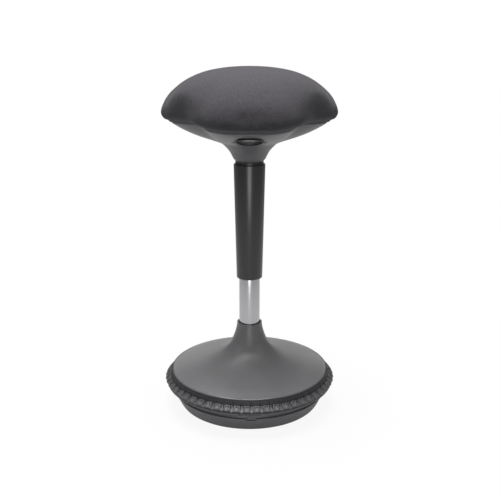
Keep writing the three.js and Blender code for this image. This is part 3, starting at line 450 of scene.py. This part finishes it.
def spinOutline(name, outline, steps, closed=True):
    # one point, extruded along the outline, then spun about the stool's axis
    bpy.ops.mesh.primitive_plane_add(size=mm(1))
    piece = bpy.context.object
    piece.name = name
    bpy.ops.object.mode_set(mode="EDIT")
    bpy.ops.mesh.merge(type="CENTER")
    radius, height = outline[0]
    bpy.ops.transform.translate(value=(mm(radius), 0, mm(height)))
    route = outline[1:] + ([outline[0]] if closed else [])
    for nextRadius, nextHeight in route:
        step = (mm(nextRadius - radius), 0, mm(nextHeight - height))
        bpy.ops.mesh.extrude_vertices_move(TRANSFORM_OT_translate={"value": step})
        radius, height = nextRadius, nextHeight
    bpy.ops.mesh.select_all(action="SELECT")
    bpy.ops.mesh.remove_doubles(threshold=mm(0.01))
    bpy.ops.mesh.spin(steps=steps, angle=2 * math.pi, center=(0, 0, 0), axis=(0, 0, 1))
    bpy.ops.mesh.select_all(action="SELECT")
    bpy.ops.mesh.remove_doubles(threshold=mm(0.02))
    bpy.ops.mesh.normals_make_consistent(inside=False)
    bpy.ops.object.mode_set(mode="OBJECT")
    return piece


def applyModifier(piece, kind, settings):
    makeActive(piece)
    modifier = piece.modifiers.new(kind.title(), kind)
    for name, value in settings.items():
        setattr(modifier, name, value)
    bpy.ops.object.modifier_apply(modifier=modifier.name)


def roundEdges(piece, width, segments=3, angle=28):
    applyModifier(piece, "BEVEL", {
        "width": mm(width), "segments": segments, "limit_method": "ANGLE",
        "angle_limit": math.radians(angle), "use_clamp_overlap": True})


def cutAway(piece, tool, operation="DIFFERENCE"):
    applyModifier(piece, "BOOLEAN", {"operation": operation, "object": tool, "solver": "EXACT"})
    bpy.data.objects.remove(tool)


def addBox(across, along, up):
    # a box between two limits on each axis
    limits = (across, along, up)
    bpy.ops.mesh.primitive_cube_add(
        size=1, location=[mm((a + b) / 2) for a, b in limits], scale=[mm(b - a) for a, b in limits])
    return bpy.context.object


def insetFaces(piece, looksOut, frame, bevel, depth, evenly=True):
    # the chosen faces get a flat frame, then a slanting edge to a middle that is sunk or raised
    makeActive(piece)
    bpy.ops.object.mode_set(mode="EDIT")
    bpy.ops.mesh.select_all(action="DESELECT")
    shape = bmesh.from_edit_mesh(piece.data)
    for face in shape.faces:
        face.select = looksOut(face.normal)
    bmesh.update_edit_mesh(piece.data)
    bpy.ops.mesh.inset(thickness=mm(frame), depth=0, use_even_offset=evenly)
    bpy.ops.mesh.inset(thickness=mm(bevel), depth=mm(depth), use_even_offset=evenly)
    bpy.ops.object.mode_set(mode="OBJECT")


def joinPieces(name, parts):
    bpy.ops.object.select_all(action="DESELECT")
    for part in parts:
        part.select_set(True)
    bpy.context.view_layer.objects.active = parts[0]
    bpy.ops.object.join()
    parts[0].name = name
    return parts[0]


# Upper casing of the base: disc and cone
print("upper casing")
upperCasing = {
    "coneTop": (28.3, 199), "shoulder": (177.4, 90), "skirt": (180, 77.3), "foot": 62.3, "wall": 3.5,
    "roll": [(0.5, -3.2), (0.2, -1.3), (-0.9, -0.1), (-2.6, 0.65)],
    "curve": [(0.000, 0.960), (0.011, 0.873), (0.028, 0.784), (0.052, 0.690), (0.089, 0.570), (0.142, 0.462),
              (0.212, 0.378), (0.300, 0.310), (0.430, 0.238), (0.620, 0.160), (0.820, 0.086), (0.950, 0.022)],
    "edgeRound": 0.8, "steps": 160,
}
top, shoulder = upperCasing["coneTop"], upperCasing["shoulder"]
coneLine = smoothLine([
    (top[0] + (shoulder[0] - top[0]) * out, shoulder[1] + (top[1] - shoulder[1]) * up)
    for out, up in upperCasing["curve"]] + [
        (shoulder[0] + out, shoulder[1] + up) for out, up in upperCasing["roll"][::-1]], 4)
outside = [(upperCasing["skirt"][0], upperCasing["foot"]), upperCasing["skirt"]] + coneLine[::-1]
inside = offsetLine([list(p) for p in outside[1:]], upperCasing["wall"])[::-2]
outside += [(top[0], top[1]), (top[0] - upperCasing["wall"], top[1])]
inside.append([upperCasing["skirt"][0] - upperCasing["wall"], upperCasing["foot"]])
baseCasing = spinOutline("baseCasing", outside + inside, upperCasing["steps"])
roundEdges(baseCasing, upperCasing["edgeRound"], segments=2)
finishPiece(baseCasing, greyCase, "base", ["base_shell"])

# Lower casing: bowl with flange, slot, undercut, lip and notch
print("lower casing")
lowerCasing = {
    "padFlat": 60, "padRadius": 148.3, "padRise": 7, "floor": 4.8, "floorThickness": 4, "wall": 3.5,
    "foot": (155, 7.6), "footRound": 2.4, "side": [(159.2, 11.1), (163.7, 18.3), (168.0, 27.6)],
    "lipBack": 173.2, "lip": 174.8, "lipLow": 39.6, "lipHigh": 42.2, "ledge": 170.6,
    "undercut": 168.6, "flange": (190.6, 59.4, 62.0), "inner": 163.0, "footEase": (1.6, 0.5), "lipEase": 0.4,
    "notch": {"halfWidth": 13, "aside": 5, "low": 37.8, "high": 45.0, "depth": 5.6, "slant": 3.2, "footBand": 1},
    "slot": {"halfWidth": 25, "low": 47.4, "high": 51.6, "back": 160, "front": 180},
    "edgeRound": 0.5, "steps": 160, "insideRings": 6,
}
low = lowerCasing


def domeLine(piece, rise, outer, rings=8):
    radii = [piece["padFlat"] + (outer - piece["padFlat"]) * i / rings for i in range(rings + 1)]
    span = piece["padRadius"] - piece["padFlat"]
    return [(0, rise)] + [(r, rise + piece["padRise"] * ((r - piece["padFlat"]) / span) ** 2) for r in radii]


easeOut, easeUp = low["footEase"]
side = smoothLine([(low["foot"][0] - low["footRound"] + easeOut, low["foot"][1] + easeUp), *low["side"],
                   (low["lipBack"], low["lipLow"] - low["lipEase"])], 4)
outside = domeLine(low, low["floor"], low["padRadius"]) + [
    (low["padRadius"], low["foot"][1]), (low["foot"][0] - low["footRound"], low["foot"][1]), *side,
    (low["lip"], low["lipLow"]), (low["lip"], low["lipHigh"]), (low["ledge"], low["lipHigh"] + low["lipEase"]),
    (low["undercut"], low["flange"][1]), low["flange"][:2], low["flange"][::2]]
inside = [
    (low["inner"], low["flange"][2]), (low["inner"], low["flange"][1] - low["wall"]),
    (low["ledge"] - low["wall"], low["lipHigh"]), (low["ledge"] - low["wall"], low["lipLow"] - low["wall"]),
    (low["padRadius"], low["padRise"] + low["floor"] + low["floorThickness"]),
    *domeLine(low, low["floor"] + low["floorThickness"], low["padRadius"],
              low["insideRings"])[::-1][1:]]
baseBowl = spinOutline("baseBowl", outside + inside, low["steps"], closed=False)
notch = low["notch"]
notchTool = addBox((notch["aside"] - notch["halfWidth"], notch["aside"] + notch["halfWidth"]),
                   (-low["lip"] - notch["depth"], -low["lip"] + notch["depth"]), (notch["low"], notch["high"]))
bpy.ops.object.transform_apply(location=True, rotation=True, scale=True)
for vertex in notchTool.data.vertices:  # the sides slant inwards to the notch's floor
    if vertex.co.z < mm(notch["low"] + notch["footBand"]):
        vertex.co.x *= 1 - notch["slant"] / notch["halfWidth"]
cutAway(baseBowl, notchTool)
gap = low["slot"]
cutAway(baseBowl, addBox((-gap["halfWidth"], gap["halfWidth"]), (-gap["front"], -gap["back"]),
                         (gap["low"], gap["high"])))
roundEdges(baseBowl, low["edgeRound"], segments=2)
finishPiece(baseBowl, bowlCase, "base", ["base_bowl"])

# Rubber pad: flat middle, shallow dome and rings that grip the floor
print("base pad")
floorPad = {"padFlat": 60, "padRadius": 148, "padRise": 7, "thickness": 4.5, "edgeRound": 0.8, "steps": 120,
            "groove": {"first": 15, "step": 11, "depth": 0.8, "halfFloor": 0.8, "halfMouth": 1.2}}
sole = domeLine(floorPad, 0, floorPad["padRadius"], 16)
grooved = [sole[0]]
groove = floorPad["groove"]
for ringRadius in range(groove["first"], floorPad["padFlat"], groove["step"]):  # grooves in the flat middle only
    grooved += [(ringRadius - groove["halfMouth"], 0), (ringRadius - groove["halfFloor"], groove["depth"]),
                (ringRadius + groove["halfFloor"], groove["depth"]), (ringRadius + groove["halfMouth"], 0)]
grooved += sole[1:]
backing = domeLine(floorPad, floorPad["thickness"], floorPad["padRadius"], 8)[::-1]
basePad = spinOutline("basePad", grooved + backing, floorPad["steps"], closed=False)
roundEdges(basePad, floorPad["edgeRound"], segments=2, angle=50)
finishPiece(basePad, padRubber, "base", ["base_pad"])

# Tread ring: a sloping band with raised blocks and a rounded tooth in each gap
print("tread ring")
treadRing = {
    "inner": 180.3, "foot": (190.5, 62.3), "edge": (194.0, 69.0), "top": (182.8, 77.3), "sunk": 3.9, "proud": 0.8,
    "count": 56, "turnShare": 0.21, "steps": 168, "edgeRound": 0.5,
    "block": {"wideShare": 0.62, "length": 13.4, "height": 5.4, "dish": 1.8, "frame": 2.0, "bevel": 0.5,
              "edgeRound": 0.45},
    "tooth": {"width": 8.0, "narrowShare": 0.32, "length": 15.2, "height": 4.6, "rim": 0.8, "bevel": 0.3,
              "deep": 1.2, "reach": 1.6, "sunk": 0.3},
}
ring = treadRing
slope = Vector((ring["edge"][0] - ring["top"][0], 0, ring["edge"][1] - ring["top"][1])).normalized()
outward = Vector((-slope.z, 0, slope.x))  # out of the sloping face
sunk = [(p[0] - outward.x * ring["sunk"], p[1] - outward.z * ring["sunk"]) for p in (ring["edge"], ring["top"])]
band = spinOutline("treadRing", [
    (ring["inner"], ring["foot"][1]), ring["foot"], sunk[0], sunk[1],
    (ring["inner"], sunk[1][1])], ring["steps"])
roundEdges(band, ring["edgeRound"], segments=2)
pitch = 2 * math.pi / ring["count"]
middle = Vector(((ring["edge"][0] + ring["top"][0]) / 2, 0, (ring["edge"][1] + ring["top"][1]) / 2))
lean = math.atan2(-slope.z, slope.x)


def onSlope(piece, turn, along=0.0, proud=0.0):
    # from a piece built flat at the origin, with +X down the slope, to its place on the ring
    place = middle + slope * along + outward * proud
    makeActive(piece)
    piece.rotation_euler = (0, lean, turn)
    piece.location = (mm(place.x) * math.cos(turn), mm(place.x) * math.sin(turn), mm(place.z))
    bpy.ops.object.transform_apply(location=True, rotation=True, scale=True)


def copyOf(piece):
    copy = piece.copy()
    copy.data = piece.data.copy()
    bpy.context.scene.collection.objects.link(copy)
    return copy


block = ring["block"]
blockWidth = block["wideShare"] * pitch * middle.x
bpy.ops.mesh.primitive_cube_add(size=1, scale=(mm(block["length"]), mm(blockWidth), mm(block["height"])))
blockStart = bpy.context.object
bpy.ops.object.transform_apply(location=True, rotation=True, scale=True)
insetFaces(blockStart, lambda normal: normal.z > 0.9, block["frame"], block["bevel"], -block["dish"])
roundEdges(blockStart, block["edgeRound"], segments=2, angle=40)

tooth = ring["tooth"]
bpy.ops.mesh.primitive_cylinder_add(vertices=16, radius=mm(tooth["width"] / 2), depth=mm(tooth["height"]))
toothStart = bpy.context.object
for vertex in toothStart.data.vertices:  # the upper half of the round goes up the slope, the lower half stays its nose
    if vertex.co.x < mm(-0.01):
        vertex.co.x -= mm(tooth["length"] - tooth["width"])
        vertex.co.y *= tooth["narrowShare"]
insetFaces(toothStart, lambda normal: normal.z > 0.9, tooth["rim"], tooth["bevel"], -tooth["deep"])
parts = []
for i in range(ring["count"]):
    gapTurn = (i + ring["turnShare"]) * pitch - math.pi / 2
    newBlock, newTooth = copyOf(blockStart), copyOf(toothStart)
    onSlope(newBlock, gapTurn + pitch / 2, proud=ring["proud"] - block["height"] / 2)
    onSlope(newTooth, gapTurn, along=block["length"] / 2 - tooth["width"] / 2 + tooth["reach"],
            proud=ring["proud"] - tooth["height"] / 2 - tooth["sunk"])
    parts += [newBlock, newTooth]
bpy.data.objects.remove(blockStart)
bpy.data.objects.remove(toothStart)
gripRing = joinPieces("gripRing", parts)
finishPiece(gripRing, treadRubber, "base", ["grip_ring"], angle=40)

# Band under the blocks and the smooth collar that hugs the skirt of the casing, both in near-black rubber: painted
# shade in the gaps between the blocks and under the skirt
collarBand = {"section": [(180.3, 77.7), (182.3, 77.7), (182.2, 79.0), (180.1, 87.6), (179.3, 88.7), (178.2, 88.5)],
              "stepsPerGap": 16, "groove": {"depth": 1.5, "halfSteps": 1.4, "top": 87.0, "from": 181}}
cut = collarBand["groove"]
ringCollar = spinOutline("ringCollar", collarBand["section"], ring["count"] * collarBand["stepsPerGap"])
for vertex in ringCollar.data.vertices:
    turn = math.atan2(vertex.co.y, vertex.co.x) + math.pi / 2 - ring["turnShare"] * pitch
    beside = abs((turn / pitch + 0.5) % 1 - 0.5) * collarBand["stepsPerGap"]
    radius = math.hypot(vertex.co.x, vertex.co.y)
    if beside < cut["halfSteps"] and vertex.co.z < mm(cut["top"]) and radius > mm(cut["from"]):
        vertex.co.x *= 1 - mm(cut["depth"]) / radius
        vertex.co.y *= 1 - mm(cut["depth"]) / radius
treadBand = joinPieces("treadBand", [ringCollar, band])
finishPiece(treadBand, paintedShadeRubber, "base", None, angle=40)

# Column tube
print("column")
tube = {"radius": 23.2, "wall": 2.4, "foot": 14.4, "top": 410, "plate": (26, 29), "plateBore": 4.4,
        "edgeRound": 0.5, "steps": 96}
tubeBore = tube["radius"] - tube["wall"]
plateLow, plateHigh = tube["plate"]
columnTube = spinOutline("columnTube", [
    (tubeBore, tube["foot"]), (tube["radius"], tube["foot"]), (tube["radius"], tube["top"]), (tubeBore, tube["top"]),
    (tubeBore, plateHigh), (tube["plateBore"], plateHigh), (tube["plateBore"], plateLow), (tubeBore, plateLow)],
    tube["steps"])
roundEdges(columnTube, tube["edgeRound"], segments=2)
finishPiece(columnTube, tubeSteel, "base", ["column_tube"])

# Tapered sleeve
sleeve = {"footRadius": 28.8, "topRadius": 34.6, "foot": 306, "top": 563.5, "wall": 3, "round": 1.6,
          "web": (547.2, 550.2), "webBore": 14.3, "steps": 120}


def sleeveBore(height):
    share = (height - sleeve["foot"]) / (sleeve["top"] - sleeve["foot"])
    return sleeve["footRadius"] + (sleeve["topRadius"] - sleeve["footRadius"]) * share - sleeve["wall"]


columnSleeve = spinOutline("columnSleeve", [
    (sleeve["footRadius"] - sleeve["wall"], sleeve["foot"]), (sleeve["footRadius"], sleeve["foot"]),
    (sleeve["topRadius"], sleeve["top"]), (sleeve["topRadius"] - sleeve["wall"], sleeve["top"]),
    (sleeveBore(sleeve["web"][1]), sleeve["web"][1]), (sleeve["webBore"], sleeve["web"][1]),
    (sleeve["webBore"], sleeve["web"][0]), (sleeveBore(sleeve["web"][0]), sleeve["web"][0])], sleeve["steps"])
roundEdges(columnSleeve, sleeve["round"], segments=4)
finishPiece(columnSleeve, sleeveCase, "seat", ["column_sleeve"])

# Seat pan: neck and three-lobed dish with the finger recess
print("seat pan")
seatPan = {
    "spigot": (28.4, 550.5), "neck": (30.7, 569.8), "crease": (64.5, 611.5), "rim": (152, 649), "rimBand": 3,
    "wall": 3.5, "power": 2.9,
    "neckCurve": [(0.133, 0.134), (0.257, 0.338), (0.405, 0.542), (0.63, 0.746), (0.85, 0.915), (1.0, 1.0)],
    "dishPoints": 16, "turnPoints": 2, "turnShares": (0.2, 0.4, 0.6, 0.8), "spigotLap": 2, "steps": 168,
    "edgeRound": 0.7,
}
lobes = {"count": 3, "roundRadius": 67, "growth": 0.341, "blunt": 0.091, "waistRise": 3, "dish": 152, "blend": 0.4}
pan = seatPan


def smoothStep(share):
    t = min(max(share, 0), 1)
    return t * t * (3 - 2 * t)


def lobePlace(radius, turn, softness=0.0):
    # how far out a point goes, and how much it drops at a lobe or rises at a waist
    beyond = max(radius - lobes["roundRadius"], 0)
    wave = math.cos(lobes["count"] * (turn + math.pi / 2))
    span = lobes["dish"] - lobes["roundRadius"]
    blunt = lobes["blunt"] * beyond * beyond / span
    waist = smoothStep((lobes["blend"] - wave) / (2 * lobes["blend"]))
    reach = blunt + (lobes["growth"] * beyond * wave - 2 * blunt * wave * wave) * (1 - softness * waist)
    return radius + reach, -lobes["waistRise"] * wave * beyond / span


def makeLobes(piece, softness=None):
    for vertex in piece.data.vertices:
        radius = math.hypot(vertex.co.x, vertex.co.y) * 1000
        if radius < 1:
            continue
        turn = math.atan2(vertex.co.y, vertex.co.x)
        soft = softness(vertex.co.z * 1000) if softness else 0.0
        reach, lift = lobePlace(radius, turn, soft)
        vertex.co.x *= reach / radius
        vertex.co.y *= reach / radius
        vertex.co.z += mm(lift)


def dishHeight(radius):
    start = (pan["crease"][0] / pan["rim"][0]) ** pan["power"]
    scale = (pan["rim"][1] - pan["crease"][1]) / (1 - start)
    return pan["crease"][1] + scale * ((radius / pan["rim"][0]) ** pan["power"] - start)


neckLine = [pan["neck"]] + smoothLine([
    (pan["neck"][0] + (pan["crease"][0] - pan["neck"][0]) * out,
     pan["neck"][1] + (pan["crease"][1] - pan["neck"][1]) * up) for out, up in pan["neckCurve"]], 3)
dishRun = pan["rim"][0] - pan["crease"][0]
dishLine = [(r, dishHeight(r)) for r in [
    pan["crease"][0] + dishRun * i / pan["dishPoints"] for i in range(1, pan["dishPoints"] + 1)]]
# the neck turns into the dish on a curve that leaves the crease out
turnStart, turnEnd = neckLine[-4], dishLine[pan["turnPoints"]]
turnLine = [[(1 - t) ** 2 * turnStart[a] + 2 * t * (1 - t) * pan["crease"][a] + t * t * turnEnd[a] for a in (0, 1)]
            for t in pan["turnShares"]]
wallLine = [list(p) for p in neckLine[:-3] + turnLine + dishLine[pan["turnPoints"]:]]
rimTop = pan["rim"][1] + pan["rimBand"]
spigotBore = pan["spigot"][0] - pan["wall"]
panLoop = ([[pan["spigot"][0], pan["spigot"][1]], [pan["spigot"][0], pan["neck"][1]]] + wallLine
           + [[pan["rim"][0], rimTop], [pan["rim"][0] - pan["wall"], rimTop]]
           + offsetLine(wallLine[1:-1], pan["wall"])[::-1]
           + [[spigotBore, pan["neck"][1] + pan["spigotLap"]], [spigotBore, pan["spigot"][1]]])
panShell = spinOutline("seatPan", panLoop, pan["steps"])
makeLobes(panShell)

# Finger recess: an oval tunnel under the front lobe, hooded inside, with a slot for the paddle's arm
recess = {"halfWidth": 29.5, "above": 6.5, "below": 11, "back": 51.5, "centreRise": 11, "slope": 0.12,
          "reach": 150, "wall": 2.5, "sides": 72, "slot": {"halfWidth": 6.6, "low": 612.7, "high": 622.7, "run": 6.5}}


def recessTunnel(wall, back):
    # flatter above its widest line than below it, and rising as it runs out
    bpy.ops.mesh.primitive_cylinder_add(
        vertices=recess["sides"], radius=1, depth=mm(recess["reach"]), rotation=(math.pi / 2, 0, 0))
    tunnel = bpy.context.object
    bpy.ops.object.transform_apply(location=True, rotation=True, scale=True)
    for vertex in tunnel.data.vertices:
        half = recess["above"] if vertex.co.z > 0 else recess["below"]
        vertex.co.x *= mm(recess["halfWidth"] + wall)
        vertex.co.y -= mm(recess["reach"]) / 2
        vertex.co.z *= mm(half + wall)
    tunnel.rotation_euler = (-math.atan(recess["slope"]), 0, 0)
    rise = recess["centreRise"] - recess["slope"] * (pan["crease"][0] - back)
    tunnel.location = (0, mm(-back), mm(pan["crease"][1] + rise))
    bpy.ops.object.transform_apply(location=True, rotation=True, scale=True)
    return tunnel


inner = offsetLine(wallLine[1:], pan["wall"] / 2)
panRoom = spinOutline("panRoom", [[0, inner[0][1]]] + inner + [[0, inner[-1][1]]], pan["steps"], closed=False)
makeLobes(panRoom)
hood = recessTunnel(recess["wall"], recess["back"] - recess["wall"])
cutAway(hood, panRoom, "INTERSECT")
cutAway(panShell, hood, "UNION")
cutAway(panShell, recessTunnel(0, recess["back"]))
slot = recess["slot"]
slotMiddle = -recess["back"] + recess["wall"] / 2
cutAway(panShell, addBox((-slot["halfWidth"], slot["halfWidth"]),
                         (slotMiddle - slot["run"] / 2, slotMiddle + slot["run"] / 2), (slot["low"], slot["high"])))

# Screw posts of the pan, two under each lobe
screws = {"circle": 115, "spread": 14, "headHole": 4.3, "postRadius": 6.5, "low": 612.5, "board": 652.3,
          "clear": 1, "seatDepth": 4, "sides": 24}
for i in range(2 * lobes["count"]):
    lobeTurn = (i // 2) * 2 * math.pi / lobes["count"] - math.pi / 2
    turn = lobeTurn + (1 if i % 2 else -1) * math.radians(screws["spread"])
    reach, lift = lobePlace(screws["circle"], turn)
    x, y = reach * math.cos(turn), reach * math.sin(turn)
    postFoot = dishHeight(screws["circle"]) + pan["wall"] / 2 + lift
    postTop = screws["board"] + lift - screws["clear"]
    seat = dishHeight(screws["circle"]) + pan["wall"] + screws["seatDepth"] + lift
    bpy.ops.mesh.primitive_cylinder_add(
        vertices=screws["sides"], radius=mm(screws["postRadius"]), depth=mm(postTop - postFoot),
        location=(mm(x), mm(y), mm((postTop + postFoot) / 2)))
    cutAway(panShell, bpy.context.object, "UNION")
    bpy.ops.mesh.primitive_cylinder_add(
        vertices=screws["sides"], radius=mm(screws["headHole"]), depth=mm(seat - screws["low"]),
        location=(mm(x), mm(y), mm((seat + screws["low"]) / 2)))
    cutAway(panShell, bpy.context.object)
roundEdges(panShell, pan["edgeRound"], segments=2, angle=35)
finishPiece(panShell, panCase, "seat", ["seat_shell"])

# Dark collar between the neck and the sleeve
collar = {"bore": 28.7, "radius": 30.7, "foot": 560.5, "top": 569.5, "edgeRound": 0.4, "steps": 96}
neckCollar = spinOutline("neckCollar", [
    (collar["bore"], collar["foot"]), (collar["radius"], collar["foot"]), (collar["radius"], collar["top"]),
    (collar["bore"], collar["top"])], collar["steps"])
roundEdges(neckCollar, collar["edgeRound"], segments=2)
finishPiece(neckCollar, blackAcetal, "seat", ["neck_collar"])

# Release paddle: its face leans outwards, and its arm reaches in to the valve
print("release paddle")
paddle = {"halfWidth": 28.4, "thickness": 4, "face": 64.5, "centre": 622.5, "rise": 0.2, "travel": 4.2, "gap": 0.3,
          "lean": 3.6, "frame": 0.4, "bevel": 0.5, "pillow": 0.3, "edgeRound": 0.3, "sides": 96,
          "arm": {"halfWidth": 6, "low": 613.3, "high": 618.7, "end": 3}}
bpy.ops.mesh.primitive_cylinder_add(vertices=paddle["sides"], radius=1, depth=mm(paddle["thickness"]),
                                    end_fill_type="NGON", rotation=(math.pi / 2, 0, 0))
releasePaddle = bpy.context.object
bpy.ops.object.transform_apply(location=True, rotation=True, scale=True)
for vertex in releasePaddle.data.vertices:  # fills the lower part of the recess, with room to swing up
    across = vertex.co.x * paddle["halfWidth"]
    bow = math.sqrt(1 - (across / recess["halfWidth"]) ** 2)
    if vertex.co.z > 0:
        height = min(paddle["rise"], recess["above"] * bow - paddle["travel"])
    else:
        height = paddle["gap"] - recess["below"] * bow
    forward = paddle["lean"] * (1 + height / recess["below"]) if vertex.co.y < 0 else 0
    vertex.co = (mm(across), vertex.co.y + mm(paddle["thickness"] / 2 - paddle["face"] - forward),
                 mm(paddle["centre"] + height))
insetFaces(releasePaddle, lambda normal: normal.y < -0.8, paddle["frame"], paddle["bevel"], paddle["pillow"],
           evenly=False)
arm = paddle["arm"]
armBack = paddle["face"] - paddle["thickness"] / 2
cutAway(releasePaddle, addBox((-arm["halfWidth"], arm["halfWidth"]), (-armBack, arm["end"]),
                              (arm["low"], arm["high"])), "UNION")
roundEdges(releasePaddle, paddle["edgeRound"], segments=2, angle=35)
releasePaddle.name = "releasePaddle"
finishPiece(releasePaddle, paddlePaintedLight, "lever", ["release_lever"])

# Cushion: crowned form with three blunt lobes, inflated as cloth over foam
print("cushion")
cushion = {
    "radius": 173.2, "foot": 652, "height": 116.4, "hem": (154.5, 653.8), "shrink": 1.6,
    "crown": [(0.930, 0.022), (0.978, 0.050), (1.000, 0.092), (1.008, 0.150), (1.003, 0.220), (0.984, 0.300),
              (0.954, 0.406), (0.908, 0.515), (0.844, 0.622), (0.766, 0.727), (0.656, 0.832), (0.490, 0.931),
              (0.240, 0.991), (0.0, 1.0)],
    "softFrom": 0.0, "softTo": 0.75, "softness": (0.4, 1.0),
    "voxel": 4.5, "heldBand": 3, "pressure": 4.0, "tension": 15, "bending": 0.5, "quality": 5, "frames": 20,
    "cap": 4.0, "smoothFactor": 0.5, "smoothRounds": 8, "steps": 120,
}


def crownSoftness(height):
    # the waists fade out towards the top
    share = (height - cushion["foot"]) / cushion["height"]
    least, most = cushion["softness"]
    return least + (most - least) * smoothStep(
        (share - cushion["softFrom"]) / (cushion["softTo"] - cushion["softFrom"]))


crown = smoothLine([(cushion["radius"] * out, cushion["foot"] + cushion["height"] * up)
                    for out, up in cushion["crown"]], 4)
crown = [list(cushion["hem"])] + crown
swollen = offsetLine(crown, cushion["shrink"])
crown = [[max(r, 0), z] for r, z in swollen]
crown[0] = list(cushion["hem"])
crown[-1][0] = 0
seatCushion = spinOutline("seatCushion", [[0, cushion["hem"][1]]] + crown, cushion["steps"], closed=False)
makeLobes(seatCushion, crownSoftness)


def inflate(piece):
    # cloth simulation under pressure, with the hem held; no point moves more than the cap
    applyModifier(piece, "REMESH", {"mode": "VOXEL", "voxel_size": mm(cushion["voxel"])})
    start = [vertex.co.copy() for vertex in piece.data.vertices]
    held = piece.vertex_groups.new(name="held")
    held.add([v.index for v in piece.data.vertices if v.co.z < mm(cushion["hem"][1] + cushion["heldBand"])],
             1.0, "REPLACE")
    modifier = piece.modifiers.new("Cloth", "CLOTH")
    cloth = modifier.settings
    cloth.use_pressure = True
    cloth.uniform_pressure_force = cushion["pressure"]
    cloth.vertex_group_mass = "held"
    cloth.effector_weights.gravity = 0.0
    cloth.quality = cushion["quality"]
    cloth.tension_stiffness = cushion["tension"]
    cloth.bending_stiffness = cushion["bending"]
    modifier.point_cache.frame_start, modifier.point_cache.frame_end = 1, cushion["frames"]
    for number in range(1, cushion["frames"] + 1):
        bpy.context.scene.frame_set(number)
    makeActive(piece)
    bpy.ops.object.modifier_apply(modifier=modifier.name)
    bpy.context.scene.frame_set(1)
    limit = mm(cushion["cap"])
    for vertex, before in zip(piece.data.vertices, start):
        move = vertex.co - before
        if move.length > limit:
            vertex.co = before + move.normalized() * limit
    piece.vertex_groups.clear()
    applyModifier(piece, "SMOOTH", {"factor": cushion["smoothFactor"], "iterations": cushion["smoothRounds"]})
    applyModifier(piece, "SUBSURF", {"levels": 1, "render_levels": 1})


inflate(seatCushion)
finishPiece(seatCushion, seatCloth, "seat", ["seat_cover", "seat_foam"], angle=60)

# Hem: the smooth dark base cloth, drawn over the board's edge down to the rim of the pan
print("hem")
hem = {"outline": [(152.0, 652.2), (153.4, 651.2), (155.6, 651.8), (158.0, 654.0), (160.0, 657.0), (157.0, 658.6),
                   (151.6, 656.0)], "roundPoints": 5, "steps": 168}
hemOutline = smoothLine(hem["outline"][:hem["roundPoints"]], 3) + hem["outline"][hem["roundPoints"]:]
coverHem = spinOutline("coverHem", hemOutline, hem["steps"])
makeLobes(coverHem)
finishPiece(coverHem, hemCloth, "seat", None, angle=60)

# CAD nodes that keep their shape
print("finishes of the inner pieces")
slotOf = {part["node"]: part["material_slot"] for part in frame["record"]["subparts"]}
for node, piece in frame["nodes"].items():
    if piece.hide_render:
        continue
    piece.data.materials.clear()
    piece.data.materials.append(cadFinishes[slotOf[node]])

low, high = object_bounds()
print("done", [round(v * 1000, 1) for v in (*low, *high)])
